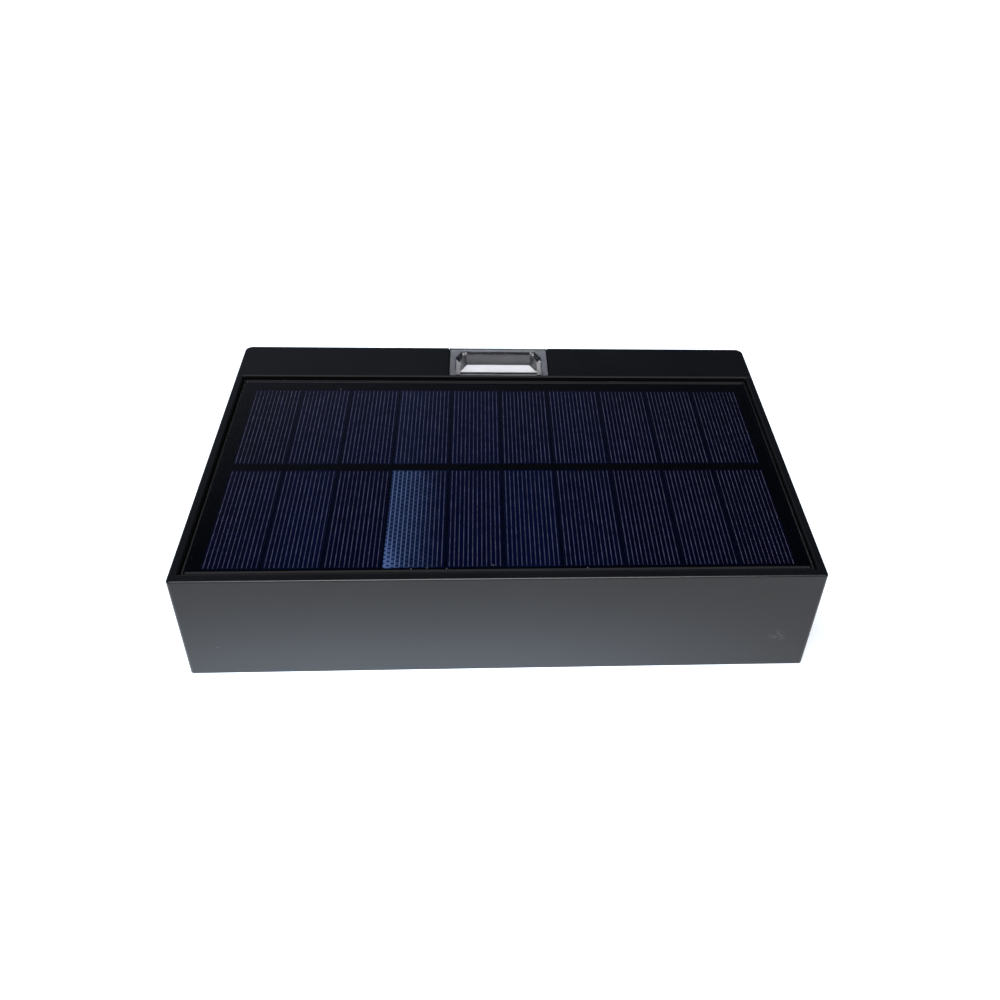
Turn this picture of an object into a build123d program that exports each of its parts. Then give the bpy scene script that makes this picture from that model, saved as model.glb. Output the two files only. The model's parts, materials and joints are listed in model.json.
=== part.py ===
from build123d import *
import math
import os

# A solar fence light: a flat box that hangs by its back wall, with a solar panel on top and a lamp
# window at the fence side, above and below. X runs along the fence, Y from the front face to the
# fence, Z up. The origin is the middle of the underside. All sizes are in millimetres.

os.makedirs("parts", exist_ok=True)

# ---- Housing ----
width = 172.0
depth = 110.0
height = 36.0
wall = 2.7
rim_side = 2.3  # rim beside the panel, a little narrower than the wall under it
lip = 1.2  # what is left of the wall beside the base cover
front_corner_radius = 1.0
back_corner_radius = 2.5
inner_corner_radius = 1.0
edge_radius = 0.5  # outer edge of the top
rim_radius = 0.4  # inner edge of the rim
deck_thickness = 2.2  # plate under the panel
strip_depth = 17.7  # lamp strip, between the panel and the fence
strip_skin = 2.4
strip_wall = 2.0  # upright wall between the panel seat and the strip's hollow
rib_thickness = 1.3
rib_depth = 3.5
rib_spacing = 34.0
rib_count = 4

# ---- Solar panel ----
panel_sink = 1.3  # from the rim down to the panel's face
panel_gap = 0.45
film_thickness = 0.6
film_edge_radius = 0.5
cell_thickness = 0.2
panel_board_thickness = 1.2
tape_thickness = 0.5
tape_width = 5.0
tape_inset = 1.5
cell_lines = (12, 12, 12, 13, 12, 12, 13, 12, 12, 12)  # grid lines on each cell of a row set its width
cell_gap_x = 0.85
cell_gap_y = 3.0
cell_margin_side = 4.5
cell_margin_front = 2.7
cell_margin_back = 5.7
front_row_share = 0.5136  # the front row is cut a little deeper than the back row
wire_hole_radius = 4.0
wire_hole_x = 28.0
wire_hole_y = 20.0

# ---- Lamps, one above and one below ----
lens_half_width = 16.8
lens_thickness = 2.0
lens_web = 1.0  # strip material between the panel seat and the upper lens
lens_gap = 0.2
lower_flange = 1.2
skirt_thickness = 1.4
skirt_gap = 0.3
opening_half_width = 13.0
opening_depth = 10.8
opening_inset = 2.8  # from the lens's front edge to the opening
chamfer_across = 2.0
chamfer_along = 3.6
lamp_depth = 8.0  # from the outer face to the LED board
reflector_gap = 0.2
reflector_floor = 1.8
scoop_thickness = 1.0
wedge_length = 7.0
led_length = 3.5
led_width = 2.8
led_height = 0.8
led_well_radius = 1.1
led_well_depth = 0.2
led_window_gap = 0.6
led_setback = 3.9  # from the opening's front wall to the LED's middle
led_board_half_width = 24.0
led_board_depth = 10.8
led_board_thickness = 1.2
lamp_frame_half_width = 24.6
lamp_frame_thickness = 2.0
lamp_post_x = 20.8
lamp_post_radius = 2.4
lower_back_gap = 0.6  # between the lower lens and the edge of the cover's rib

# ---- Base cover and its seal ----
cover_thickness = 2.4
cover_gap = 0.2
seal_thickness = 0.8
seal_width = 1.1
cover_rib_thickness = 1.5
cover_rib_height = 3.0
cover_rib_gap = 0.25
boss_inset = 6.3  # from the inner walls to a boss's axis
boss_radius = 3.6
gusset_start = 7.5  # above the underside
island_radius = 4.2
island_height = 2.0
cover_screw_hole_radius = 1.7

# ---- Screws: head radius, head height, shank radius, length ----
cover_screw_head_radius = 2.8
cover_screw_head_height = 2.0
cover_screw_radius = 1.25
cover_screw_length = 12.0
counterbore_radius = 3.2
counterbore_depth = 2.6
small_screw_head_radius = 1.9
small_screw_head_height = 1.3
small_screw_radius = 0.85
small_screw_length = 5.0
small_screw_hole_radius = 1.1
pilot_gap = 0.05
pilot_extra = 1.0
head_edge_chamfer = 0.5
cross_width = 0.7
cross_depth = 0.9

# ---- Keyholes in the back wall ----
keyhole_spacing = 100.0
keyhole_entry_height = 13.0
keyhole_entry_radius = 4.6
keyhole_slot_half_width = 2.3
keyhole_rise = 8.0
cup_clearance = 0.8
cup_depth = 5.0
cup_wall = 1.6

# ---- Control board and switch ----
control_length = 56.0
control_depth = 34.0
control_thickness = 1.6
control_side_room = 12.0
control_y = -18.0
standoff_radius = 2.8
standoff_inset = 3.6
switch_size = 8.0
switch_height = 5.0
switch_corner_radius = 0.6
switch_x_offset = 12.0  # from the middle of the board
switch_y_offset = -4.0

# ---- Push button ----
button_radius = 5.05
button_fit = 0.1
button_recess = 0.4  # the cap's face lies this far above the underside
button_travel = 1.2
button_flange_radius = 6.4
button_flange_thickness = 0.8
button_stem_radius = 1.3  # less than the switch's bore, which it enters when pressed
button_stem_length = 0.8
button_edge_chamfer = 0.4
dish_radius = 8.5
dish_depth = 1.0
collar_radius = 7.2
collar_height = 2.0
ring_section = 0.8
ring_gap = 0.05
plunger_radius = 1.5
plunger_fit = 0.06
plunger_length = 4.0
plunger_end_gap = 0.2
switch_free_gap = 0.4

# ---- Battery ----
cell_radius = 9.2
cell_length_battery = 65.2
cell_nub_radius = 2.9
cell_nub_height = 1.0
cell_end_chamfer = 0.8
cell_crimp_depth = 0.6
cell_crimp_setback = 3.0  # from the positive end
holder_wall = 1.8
holder_floor = 1.6
holder_cell_gap = 0.3
holder_side_height = 3.5  # above the cell's axis
holder_end_height = 6.0
holder_side_room = 5.5  # to the left inner wall
holder_y = -22.0
holder_island_radius = 4.0
holder_island_height = 1.6
holder_screw_spacing = 40.0
holder_screw_head_height = 1.25
holder_screw_length = 3.5
contact_room = 2.4
contact_thickness = 0.4
contact_width = 8.0
contact_bow = 1.7
contact_bow_half_height = 3.5
contact_foot = 5.5
contact_tail = 4.0
contact_gap = 0.1

# ---- Small components on the control board ----
chip_length = 6.0
chip_width = 4.0
chip_height = 1.5
chip_legs_each_side = 4
chip_leg_pitch = 1.27
chip_leg_width = 0.4
chip_leg_height = 0.3
chip_leg_reach = 1.0
chip_x_offset = -8.0  # offsets are from the middle of the control board
chip_y_offset = 2.0
inductor_radius = 4.5
inductor_winding_radius = 3.3
inductor_height = 5.0
inductor_flange = 1.2
inductor_x_offset = 4.0
inductor_y_offset = -8.0
capacitor_radius = 3.15
capacitor_height = 6.8
capacitor_edge_chamfer = 0.5
capacitor_spacing = 9.0
capacitor_x_offset = -12.5
capacitor_y_offset = -8.0

# ---- Wires inside the housing ----
lead_radius = 0.5
lead_side_count = 8
lead_rise = 7.0  # from the control board up to the level the wires cross at
panel_lead_lift = 1.2  # the panel's wires cross above the others
lead_bend_share = 0.48  # of the shorter run beside a bend
lead_floor_gap = 0.3
panel_pad_spacing = 2.2
led_pad_inset = 2.8  # from the middle of the LED board
led_pad_x = {"upper": (8.0, 11.5), "lower": (14.5, 17.5)}
pad_inset = 3.5  # from the control board's back edge
pad_starts = {"upper": 8.7, "lower": 15.7, "panel": 22.7}  # from the board's left edge
pad_pitch = 3.0
battery_pad_inset = 4.0
battery_lane_gap = 3.0  # behind the battery holder
battery_rise_gap = 6.0  # from the lane's upright run to the control board

# ---- Worked out from the sizes above ----
inner_half_width = width / 2 - wall
inner_half_depth = depth / 2 - wall
recess_half_width = width / 2 - rim_side
panel_top = height - panel_sink
board_top = panel_top - film_thickness
board_bottom = board_top - panel_board_thickness
recess_floor = board_bottom - tape_thickness
deck_bottom = recess_floor - deck_thickness
recess_front = -inner_half_depth
recess_back = depth / 2 - strip_depth
panel_width = 2 * (recess_half_width - panel_gap)
panel_depth = recess_back - recess_front - 2 * panel_gap
panel_y = (recess_back + recess_front) / 2
line_pitch = (panel_width - 2 * cell_margin_side - (len(cell_lines) - 1) * cell_gap_x) / sum(cell_lines)
rows_depth = panel_depth - cell_margin_front - cell_margin_back - cell_gap_y
cells = []  # middle and size of each cell
row_front = recess_front + panel_gap + cell_margin_front
for row_share in (front_row_share, 1 - front_row_share):
    row_depth = rows_depth * row_share
    cell_left = cell_margin_side - panel_width / 2
    for lines in cell_lines:
        cell_width = lines * line_pitch
        cells.append((cell_left + cell_width / 2, row_front + row_depth / 2, cell_width, row_depth))
        cell_left += cell_width + cell_gap_x
    row_front += row_depth + cell_gap_y

lens_front = recess_back + lens_web
opening_front = lens_front + opening_inset
opening_back = opening_front + opening_depth
skirt_length = lamp_depth - lens_thickness - skirt_gap
strip_bottom = height - strip_skin
lamp_frame_bottom = strip_bottom - lamp_frame_thickness
lamp_post_y = opening_front + led_board_depth / 2 - skirt_thickness / 2

seal_ledge = cover_thickness + seal_thickness
cover_width = width - 2 * (lip + cover_gap)
cover_depth = depth - 2 * (lip + cover_gap)
rib_outer_width = 2 * (inner_half_width - cover_rib_gap)
rib_outer_depth = 2 * (inner_half_depth - cover_rib_gap)
lower_limit = rib_outer_depth / 2 - lower_back_gap
lower_shift = lower_limit - lower_flange - skirt_thickness - opening_back
boss_x = inner_half_width - boss_inset
boss_y = inner_half_depth - boss_inset
boss_places = [(x, y) for x in (-boss_x, boss_x) for y in (-boss_y, boss_y)]
gusset_reach = boss_inset + wall / 2
boss_bottom = cover_thickness + island_height

control_x = inner_half_width - control_side_room - control_length / 2
standoff_x = control_length / 2 - standoff_inset
standoff_y = control_depth / 2 - standoff_inset
standoffs = [
    (control_x + x, control_y + y) for x in (-standoff_x, standoff_x) for y in (-standoff_y, standoff_y)
]
button_x = control_x + switch_x_offset
button_y = control_y + switch_y_offset
button_bore = button_radius + button_fit
collar_top = cover_thickness + collar_height
flange_top = collar_top + button_flange_thickness
plunger_bottom = flange_top + button_stem_length
switch_bottom = flange_top + button_travel + switch_free_gap
control_bottom = switch_bottom + switch_height
control_top = control_bottom + control_thickness

holder_bottom = cover_thickness + holder_island_height
cell_axis = holder_bottom + holder_floor + holder_cell_gap + cell_radius
holder_length = cell_length_battery + 2 * (contact_room + holder_wall)
holder_depth = 2 * (cell_radius + holder_cell_gap + holder_wall)
holder_x = -inner_half_width + holder_side_room + holder_length / 2
holder_pocket_half = holder_length / 2 - holder_wall


def keep(part, name):
    """Label a finished piece and write it."""
    part.label = name
    export_step(part, f"parts/{name}.step")


def opening_corners(grow, shift=0.0):
    """Corners of a lamp opening, grown outwards: a rectangle whose two back corners are cut off."""
    half = opening_half_width + grow
    near = half - chamfer_across
    front = opening_front - grow + shift
    back = opening_back + grow + shift
    corner = back - chamfer_along
    return [(-half, front), (half, front), (half, corner), (near, back), (-near, back), (-half, corner)]


def post_places(shift=0.0):
    """Middles of the two posts that carry an LED board."""
    return [(side * lamp_post_x, lamp_post_y + shift) for side in (-1, 1)]


# ---- Housing: a tray, open below, with the panel seat sunk in its top ----
with BuildPart() as housing:
    with BuildSketch() as outline:
        Rectangle(width, depth)
        fillet(outline.vertices().group_by(Axis.Y)[0], front_corner_radius)
        fillet(outline.vertices().group_by(Axis.Y)[-1], back_corner_radius)
    extrude(amount=height)
    fillet(housing.edges().group_by(Axis.Z)[-1], edge_radius)

    # panel seat, with a soft inner edge to the rim
    with BuildSketch(Plane.XY.offset(recess_floor)):
        with Locations((0, panel_y)):
            Rectangle(2 * recess_half_width, recess_back - recess_front)
    extrude(amount=height - recess_floor, mode=Mode.SUBTRACT)
    rim = housing.faces().filter_by(Axis.Z).sort_by(Axis.Z)[-1]
    fillet(rim.inner_wires()[0].edges(), rim_radius)

    # hollow below the deck, and the step that the seal and base cover fit in
    with BuildSketch():
        RectangleRounded(2 * inner_half_width, 2 * inner_half_depth, inner_corner_radius)
    extrude(amount=deck_bottom, mode=Mode.SUBTRACT)
    with BuildSketch():
        RectangleRounded(width - 2 * lip, depth - 2 * lip, inner_corner_radius)
    extrude(amount=seal_ledge, mode=Mode.SUBTRACT)

    # hollow of the lamp strip, above the deck's level
    with BuildSketch(Plane.XY.offset(deck_bottom)):
        with Locations((0, (recess_back + strip_wall + inner_half_depth) / 2)):
            Rectangle(2 * inner_half_width, inner_half_depth - recess_back - strip_wall)
    extrude(amount=strip_bottom - deck_bottom, mode=Mode.SUBTRACT)

    # thicker frame round the lamp window, with two posts for the LED board
    with BuildSketch(Plane.XY.offset(lamp_frame_bottom)):
        with Locations((0, (recess_back + inner_half_depth + wall / 2) / 2)):
            Rectangle(2 * lamp_frame_half_width, inner_half_depth + wall / 2 - recess_back)
    extrude(amount=lamp_frame_thickness)
    with BuildSketch(Plane.XY.offset(height - lamp_depth)):
        with Locations(*post_places()):
            Circle(lamp_post_radius)
    extrude(amount=lamp_frame_bottom - height + lamp_depth)
    with BuildSketch(Plane.XY.offset(height - lamp_depth)):
        with Locations(*post_places()):
            Circle(small_screw_radius + pilot_gap)
    extrude(amount=small_screw_length - led_board_thickness + pilot_extra / 2, mode=Mode.SUBTRACT)

    # seat of the upper lens, open to the back, and the pocket for its skirt. A thin wall is left behind it
    with BuildSketch(Plane.XY.offset(height - lens_thickness)):
        with Locations((0, (lens_front - lens_gap + depth) / 2)):
            Rectangle(2 * (lens_half_width + lens_gap), depth - lens_front + lens_gap)
    extrude(amount=lens_thickness, mode=Mode.SUBTRACT)
    with BuildSketch(Plane.XY.offset(height - lamp_depth)):
        Polygon(*opening_corners(skirt_thickness + skirt_gap), align=None)
    extrude(amount=lamp_depth, mode=Mode.SUBTRACT)

    # wire hole under the panel
    with BuildSketch(Plane.XY.offset(deck_bottom)):
        with Locations((wire_hole_x, wire_hole_y)):
            Circle(wire_hole_radius)
    extrude(amount=deck_thickness, mode=Mode.SUBTRACT)

    # ribs across the underside of the deck
    with BuildSketch(Plane.XY.offset(deck_bottom - rib_depth)):
        with Locations((0, (recess_back + strip_wall - inner_half_depth) / 2)):
            with GridLocations(rib_spacing, 1, rib_count, 1):
                Rectangle(rib_thickness, recess_back + strip_wall + inner_half_depth)
            with GridLocations(1, rib_spacing, 1, rib_count // 2):
                Rectangle(2 * inner_half_width, rib_thickness)
    extrude(amount=rib_depth)

    # four bosses for the cover screws, each tied to both walls beside it by a gusset
    with BuildSketch(Plane.XY.offset(boss_bottom)):
        with Locations(*boss_places):
            Circle(boss_radius)
    extrude(amount=deck_bottom - boss_bottom)
    with BuildSketch(Plane.XY.offset(gusset_start)):
        for side_x in (-1, 1):
            for side_y in (-1, 1):
                with Locations((side_x * (boss_x + gusset_reach / 2), side_y * boss_y)):
                    Rectangle(gusset_reach, rib_thickness)
                with Locations((side_x * boss_x, side_y * (boss_y + gusset_reach / 2))):
                    Rectangle(rib_thickness, gusset_reach)
    extrude(amount=deck_bottom - gusset_start)
    with BuildSketch(Plane.XY.offset(deck_bottom)):
        with Locations((-boss_x, boss_y), (boss_x, boss_y)):
            Circle(boss_radius)
    extrude(amount=strip_bottom - deck_bottom)
    with BuildSketch(Plane.XY.offset(boss_bottom)):
        with Locations(*boss_places):
            Circle(cover_screw_radius + pilot_gap)
    extrude(amount=cover_screw_length + pilot_extra, mode=Mode.SUBTRACT)

    # keyholes: the screw's head goes in at the round end, and its neck slides up the slot
    with BuildSketch(Plane.XZ.offset(-depth / 2)):
        for side in (-1, 1):
            with Locations((side * keyhole_spacing / 2, keyhole_entry_height)):
                Circle(keyhole_entry_radius)
                SlotCenterPoint((0, keyhole_rise / 2), (0, keyhole_rise), 2 * keyhole_slot_half_width)
    extrude(amount=wall, mode=Mode.SUBTRACT)
keep(housing.part, "housing")

# ---- Keyhole cups, welded to the inside of the back wall ----
cup_half_width = keyhole_entry_radius + cup_clearance
cup_height = keyhole_rise + 2 * cup_half_width
with BuildPart() as keyhole_cups:
    with BuildSketch(Plane.XZ.offset(-inner_half_depth)):
        with Locations((0, keyhole_entry_height + keyhole_rise / 2)):
            with GridLocations(keyhole_spacing, 1, 2, 1):
                RectangleRounded(2 * (cup_half_width + cup_wall), cup_height + 2 * cup_wall, cup_wall)
    extrude(amount=cup_depth)
    with BuildSketch(Plane.XZ.offset(-inner_half_depth)):
        with Locations((0, keyhole_entry_height + keyhole_rise / 2)):
            with GridLocations(keyhole_spacing, 1, 2, 1):
                Rectangle(2 * cup_half_width, cup_height)
    extrude(amount=cup_depth - cup_wall, mode=Mode.SUBTRACT)
keep(keyhole_cups.part, "keyhole_cups")

# ---- Solar panel: tape, board, cells, and the film that fills in round the cells ----
with BuildPart() as panel_tape:
    with BuildSketch(Plane.XY.offset(recess_floor)):
        with Locations((0, panel_y)):
            Rectangle(panel_width - 2 * tape_inset, panel_depth - 2 * tape_inset)
            Rectangle(
                panel_width - 2 * (tape_inset + tape_width),
                panel_depth - 2 * (tape_inset + tape_width),
                mode=Mode.SUBTRACT,
            )
    extrude(amount=tape_thickness)
keep(panel_tape.part, "panel_tape")

with BuildPart() as panel_board:
    with BuildSketch(Plane.XY.offset(board_bottom)):
        with Locations((0, panel_y)):
            Rectangle(panel_width, panel_depth)
    extrude(amount=panel_board_thickness)
keep(panel_board.part, "panel_board")

with BuildPart() as solar_cells:
    with BuildSketch(Plane.XY.offset(board_top)):
        for cell_x, cell_y, cell_width, cell_depth in cells:
            with Locations((cell_x, cell_y)):
                Rectangle(cell_width, cell_depth)
    extrude(amount=cell_thickness)
keep(solar_cells.part, "solar_cells")

with BuildPart() as panel_film:
    with BuildSketch(Plane.XY.offset(board_top)):
        with Locations((0, panel_y)):
            Rectangle(panel_width, panel_depth)
    extrude(amount=film_thickness)
    fillet(panel_film.edges().group_by(Axis.Z)[-1], film_edge_radius)
    with BuildSketch(Plane.XY.offset(board_top)):
        for cell_x, cell_y, cell_width, cell_depth in cells:
            with Locations((cell_x, cell_y)):
                Rectangle(cell_width, cell_depth)
    extrude(amount=cell_thickness, mode=Mode.SUBTRACT)
keep(panel_film.part, "panel_film")


# ---- Lamps: each is a lens with a skirt, a white scoop inside it, and an LED on its board ----
def make_lens(name, face, inward, front, back, shift, round_back):
    """A clear plate with a skirt into the housing. Its back edge can follow the housing's rounded edge."""
    with BuildPart() as lens:
        with BuildSketch(Plane.XY.offset(face)):
            with Locations((0, (front + back) / 2)):
                Rectangle(2 * lens_half_width, back - front)
        extrude(amount=inward * lens_thickness)
        with BuildSketch(Plane.XY.offset(face + inward * lens_thickness)):
            Polygon(*opening_corners(skirt_thickness, shift), align=None)
            Polygon(*opening_corners(0, shift), align=None, mode=Mode.SUBTRACT)
        extrude(amount=inward * skirt_length)
        if round_back:
            back_edges = lens.edges().filter_by(Axis.X).group_by(Axis.Z)[-1]
            fillet(back_edges.sort_by(Axis.Y)[-1], edge_radius)
    keep(lens.part, name)


def make_reflector(name, seat, outward, shift):
    """A white floor on the LED board, with a curved front wall and two tapering cheeks."""
    front = opening_front + reflector_gap + shift
    half = opening_half_width - reflector_gap
    top = seat + outward * (lamp_depth - lens_thickness - skirt_gap)
    floor = seat + outward * reflector_floor
    led_y = opening_front + led_setback + shift
    window_front = led_y - led_width / 2 - led_window_gap
    with BuildPart() as reflector:
        with BuildSketch(Plane.XY.offset(seat)):
            Polygon(*opening_corners(-reflector_gap, shift), align=None)
            with Locations((0, led_y)):
                Rectangle(
                    led_length + 2 * led_window_gap, led_width + 2 * led_window_gap, mode=Mode.SUBTRACT
                )
        extrude(amount=outward * reflector_floor)
        with BuildSketch(Plane.YZ) as scoop:
            with BuildLine():
                Line((front, floor), (front, top))
                Line((front, top), (front + scoop_thickness, top))
                bulge = scoop_thickness / 2 + (window_front - front) / 4
                ThreePointArc(
                    (front + scoop_thickness, top),
                    (front + bulge + scoop_thickness / 4, (floor + top) / 2),
                    (window_front, floor),
                )
                Line((window_front, floor), (front, floor))
            make_face()
        extrude(amount=half, both=True)
        with BuildSketch(Plane.YZ) as cheek:
            Polygon(
                (front, floor), (front, top), (front + scoop_thickness, top), (front + wedge_length, floor),
                align=None,
            )
        extrude(amount=half, both=True)
        with BuildSketch(Plane.YZ) as hollow:
            with BuildLine():
                Line((window_front, floor), (front + wedge_length, floor))
                Line((front + wedge_length, floor), (front + wedge_length, top))
                Line((front + wedge_length, top), (front + scoop_thickness, top))
                ThreePointArc(
                    (front + scoop_thickness, top),
                    (front + bulge + scoop_thickness / 4, (floor + top) / 2),
                    (window_front, floor),
                )
            make_face()
        extrude(amount=half - scoop_thickness, both=True, mode=Mode.SUBTRACT)
    keep(reflector.part, name)


def make_led_board(name, seat, outward, shift):
    """A narrow board behind the reflector, with two screw holes."""
    with BuildPart() as board:
        with BuildSketch(Plane.XY.offset(seat)):
            with Locations((0, lamp_post_y + shift)):
                Rectangle(2 * led_board_half_width, led_board_depth)
            with Locations(*post_places(shift)):
                Circle(small_screw_hole_radius, mode=Mode.SUBTRACT)
        extrude(amount=-outward * led_board_thickness)
    keep(board.part, name)


def make_led(name, seat, outward, shift):
    """A surface-mounted LED: a square package with a round well in its face."""
    place = (0, opening_front + led_setback + shift)
    with BuildPart() as led:
        with BuildSketch(Plane.XY.offset(seat)):
            with Locations(place):
                Rectangle(led_length, led_width)
        extrude(amount=outward * led_height)
        with BuildSketch(Plane.XY.offset(seat + outward * led_height)):
            with Locations(place):
                Circle(led_well_radius)
        extrude(amount=-outward * led_well_depth, mode=Mode.SUBTRACT)
    keep(led.part, name)


def make_screws(name, places, seat, point, head_radius, head_height, shank_radius, length):
    """Pan-head screws with a cross recess. The heads sit at seat, and point is +1 or -1 along Z."""
    with BuildPart() as screws:
        with BuildSketch(Plane.XY.offset(seat)):
            with Locations(*places):
                Circle(shank_radius)
        extrude(amount=point * length)
        with BuildSketch(Plane.XY.offset(seat)):
            with Locations(*places):
                Circle(head_radius)
        extrude(amount=-point * head_height)
        rim_edges = screws.edges().filter_by(GeomType.CIRCLE).group_by(Axis.Z)[0 if point > 0 else -1]
        chamfer(rim_edges, head_edge_chamfer)
        with BuildSketch(Plane.XY.offset(seat - point * head_height)):
            with Locations(*places):
                Rectangle(head_radius, cross_width)
                Rectangle(cross_width, head_radius)
        extrude(amount=point * cross_depth, mode=Mode.SUBTRACT)
    keep(screws.part, name)


lamps = {
    "upper": (height, -1, lens_front, depth / 2, 0.0, True),
    "lower": (0.0, 1, lens_front + lower_shift, lower_limit, lower_shift, False),
}
for side, (face, inward, lens_start, lens_end, shift, round_back) in lamps.items():
    board_seat = face + inward * lamp_depth
    screw_seat = board_seat + inward * led_board_thickness
    make_lens(f"{side}_lens", face, inward, lens_start, lens_end, shift, round_back)
    make_reflector(f"{side}_reflector", board_seat, -inward, shift)
    make_led_board(f"{side}_led_board", board_seat, -inward, shift)
    make_led(f"{side}_led", board_seat, -inward, shift)
    make_screws(
        f"{side}_led_screws",
        post_places(shift),
        screw_seat,
        -inward,
        small_screw_head_radius,
        small_screw_head_height,
        small_screw_radius,
        small_screw_length,
    )

# ---- Base cover: a plate in the tray's step, carrying the lower lamp, battery and control board ----
lower_posts = post_places(lower_shift)
holder_screws_at = [(holder_x + side * holder_screw_spacing / 2, holder_y) for side in (-1, 1)]
lamp_block_front = lens_front + lower_shift - wall
with BuildPart() as base_cover:
    with BuildSketch():
        RectangleRounded(cover_width, cover_depth, inner_corner_radius)
    extrude(amount=cover_thickness)
    # upright rib that keeps the seal in its step
    with BuildSketch(Plane.XY.offset(cover_thickness)):
        RectangleRounded(rib_outer_width, rib_outer_depth, inner_corner_radius)
        Rectangle(
            rib_outer_width - 2 * cover_rib_thickness,
            rib_outer_depth - 2 * cover_rib_thickness,
            mode=Mode.SUBTRACT,
        )
    extrude(amount=cover_rib_height)
    # raised places: lamp block, screw islands, standoffs, lamp posts and the button's collar
    with BuildSketch(Plane.XY.offset(cover_thickness)):
        with Locations((0, (lamp_block_front + rib_outer_depth / 2) / 2)):
            Rectangle(2 * lamp_frame_half_width, rib_outer_depth / 2 - lamp_block_front)
        with Locations(*boss_places):
            Circle(island_radius)
    extrude(amount=island_height)
    with BuildSketch(Plane.XY.offset(cover_thickness)):
        with Locations(*holder_screws_at):
            Circle(holder_island_radius)
    extrude(amount=holder_island_height)
    with BuildSketch(Plane.XY.offset(cover_thickness)):
        with Locations(*standoffs):
            Circle(standoff_radius)
    extrude(amount=control_bottom - cover_thickness)
    with BuildSketch(Plane.XY.offset(cover_thickness)):
        with Locations(*lower_posts):
            Circle(lamp_post_radius)
    extrude(amount=lamp_depth - cover_thickness)
    with BuildSketch(Plane.XY.offset(cover_thickness)):
        with Locations((button_x, button_y)):
            Circle(collar_radius)
    extrude(amount=collar_height)

    # lower lens seat, and the opening for its skirt
    with BuildSketch():
        with Locations((0, (lens_front + lower_shift + lower_limit) / 2)):
            Rectangle(
                2 * (lens_half_width + lens_gap), lower_limit - lens_front - lower_shift + 2 * lens_gap
            )
    extrude(amount=lens_thickness, mode=Mode.SUBTRACT)
    with BuildSketch():
        Polygon(*opening_corners(skirt_thickness + skirt_gap, lower_shift), align=None)
    extrude(amount=lamp_depth, mode=Mode.SUBTRACT)

    # button: a dish for the fingertip and the bore that guides the cap
    with BuildSketch():
        with Locations((button_x, button_y)):
            Circle(dish_radius)
    extrude(amount=dish_depth, mode=Mode.SUBTRACT)
    with BuildSketch():
        with Locations((button_x, button_y)):
            Circle(button_bore)
    extrude(amount=collar_top, mode=Mode.SUBTRACT)

    # counterbored holes for the cover screws
    with BuildSketch():
        with Locations(*boss_places):
            Circle(cover_screw_hole_radius)
    extrude(amount=boss_bottom, mode=Mode.SUBTRACT)
    with BuildSketch():
        with Locations(*boss_places):
            Circle(counterbore_radius)
    extrude(amount=counterbore_depth, mode=Mode.SUBTRACT)

    # pilot holes for the small screws, from above
    with BuildSketch(Plane.XY.offset(holder_bottom)):
        with Locations(*holder_screws_at):
            Circle(small_screw_radius + pilot_gap)
    extrude(amount=holder_floor - holder_screw_length - pilot_extra / 2, mode=Mode.SUBTRACT)
    with BuildSketch(Plane.XY.offset(control_bottom)):
        with Locations(*standoffs):
            Circle(small_screw_radius + pilot_gap)
    extrude(amount=control_thickness - small_screw_length - pilot_extra, mode=Mode.SUBTRACT)
    with BuildSketch(Plane.XY.offset(lamp_depth)):
        with Locations(*lower_posts):
            Circle(small_screw_radius + pilot_gap)
    extrude(amount=led_board_thickness - small_screw_length - pilot_extra / 2, mode=Mode.SUBTRACT)
keep(base_cover.part, "base_cover")

with BuildPart() as base_seal:
    with BuildSketch(Plane.XY.offset(cover_thickness)):
        RectangleRounded(cover_width, cover_depth, inner_corner_radius)
        Rectangle(cover_width - 2 * seal_width, cover_depth - 2 * seal_width, mode=Mode.SUBTRACT)
    extrude(amount=seal_thickness)
keep(base_seal.part, "base_seal")

make_screws(
    "cover_screws",
    boss_places,
    counterbore_depth,
    1,
    cover_screw_head_radius,
    cover_screw_head_height,
    cover_screw_radius,
    cover_screw_length,
)

# ---- Control board, its components and its screws ----
with BuildPart() as control_board:
    with BuildSketch(Plane.XY.offset(control_bottom)):
        with Locations((control_x, control_y)):
            RectangleRounded(control_length, control_depth, inner_corner_radius)
        with Locations(*standoffs):
            Circle(small_screw_hole_radius, mode=Mode.SUBTRACT)
    extrude(amount=control_thickness)
keep(control_board.part, "control_board")

make_screws(
    "board_screws",
    standoffs,
    control_top,
    -1,
    small_screw_head_radius,
    small_screw_head_height,
    small_screw_radius,
    small_screw_length,
)

with BuildPart() as charge_chip:
    with BuildSketch(Plane.XY.offset(control_top)):
        with Locations((control_x + chip_x_offset, control_y + chip_y_offset)):
            with GridLocations(chip_leg_pitch, 1, chip_legs_each_side, 1):
                Rectangle(chip_leg_width, chip_width + 2 * chip_leg_reach)
    extrude(amount=chip_leg_height)
    with BuildSketch(Plane.XY.offset(control_top)):
        with Locations((control_x + chip_x_offset, control_y + chip_y_offset)):
            Rectangle(chip_length, chip_width)
    extrude(amount=chip_height)
keep(charge_chip.part, "charge_chip")

# a drum core: two flanges and the narrower winding between them
with BuildPart() as inductor:
    with BuildSketch(Plane.XY.offset(control_top)):
        with Locations((control_x + inductor_x_offset, control_y + inductor_y_offset)):
            Circle(inductor_radius)
    extrude(amount=inductor_height)
    with BuildSketch(Plane.XY.offset(control_top + inductor_flange)):
        with Locations((control_x + inductor_x_offset, control_y + inductor_y_offset)):
            Circle(inductor_radius)
            Circle(inductor_winding_radius, mode=Mode.SUBTRACT)
    extrude(amount=inductor_height - 2 * inductor_flange, mode=Mode.SUBTRACT)
keep(inductor.part, "inductor")

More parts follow.
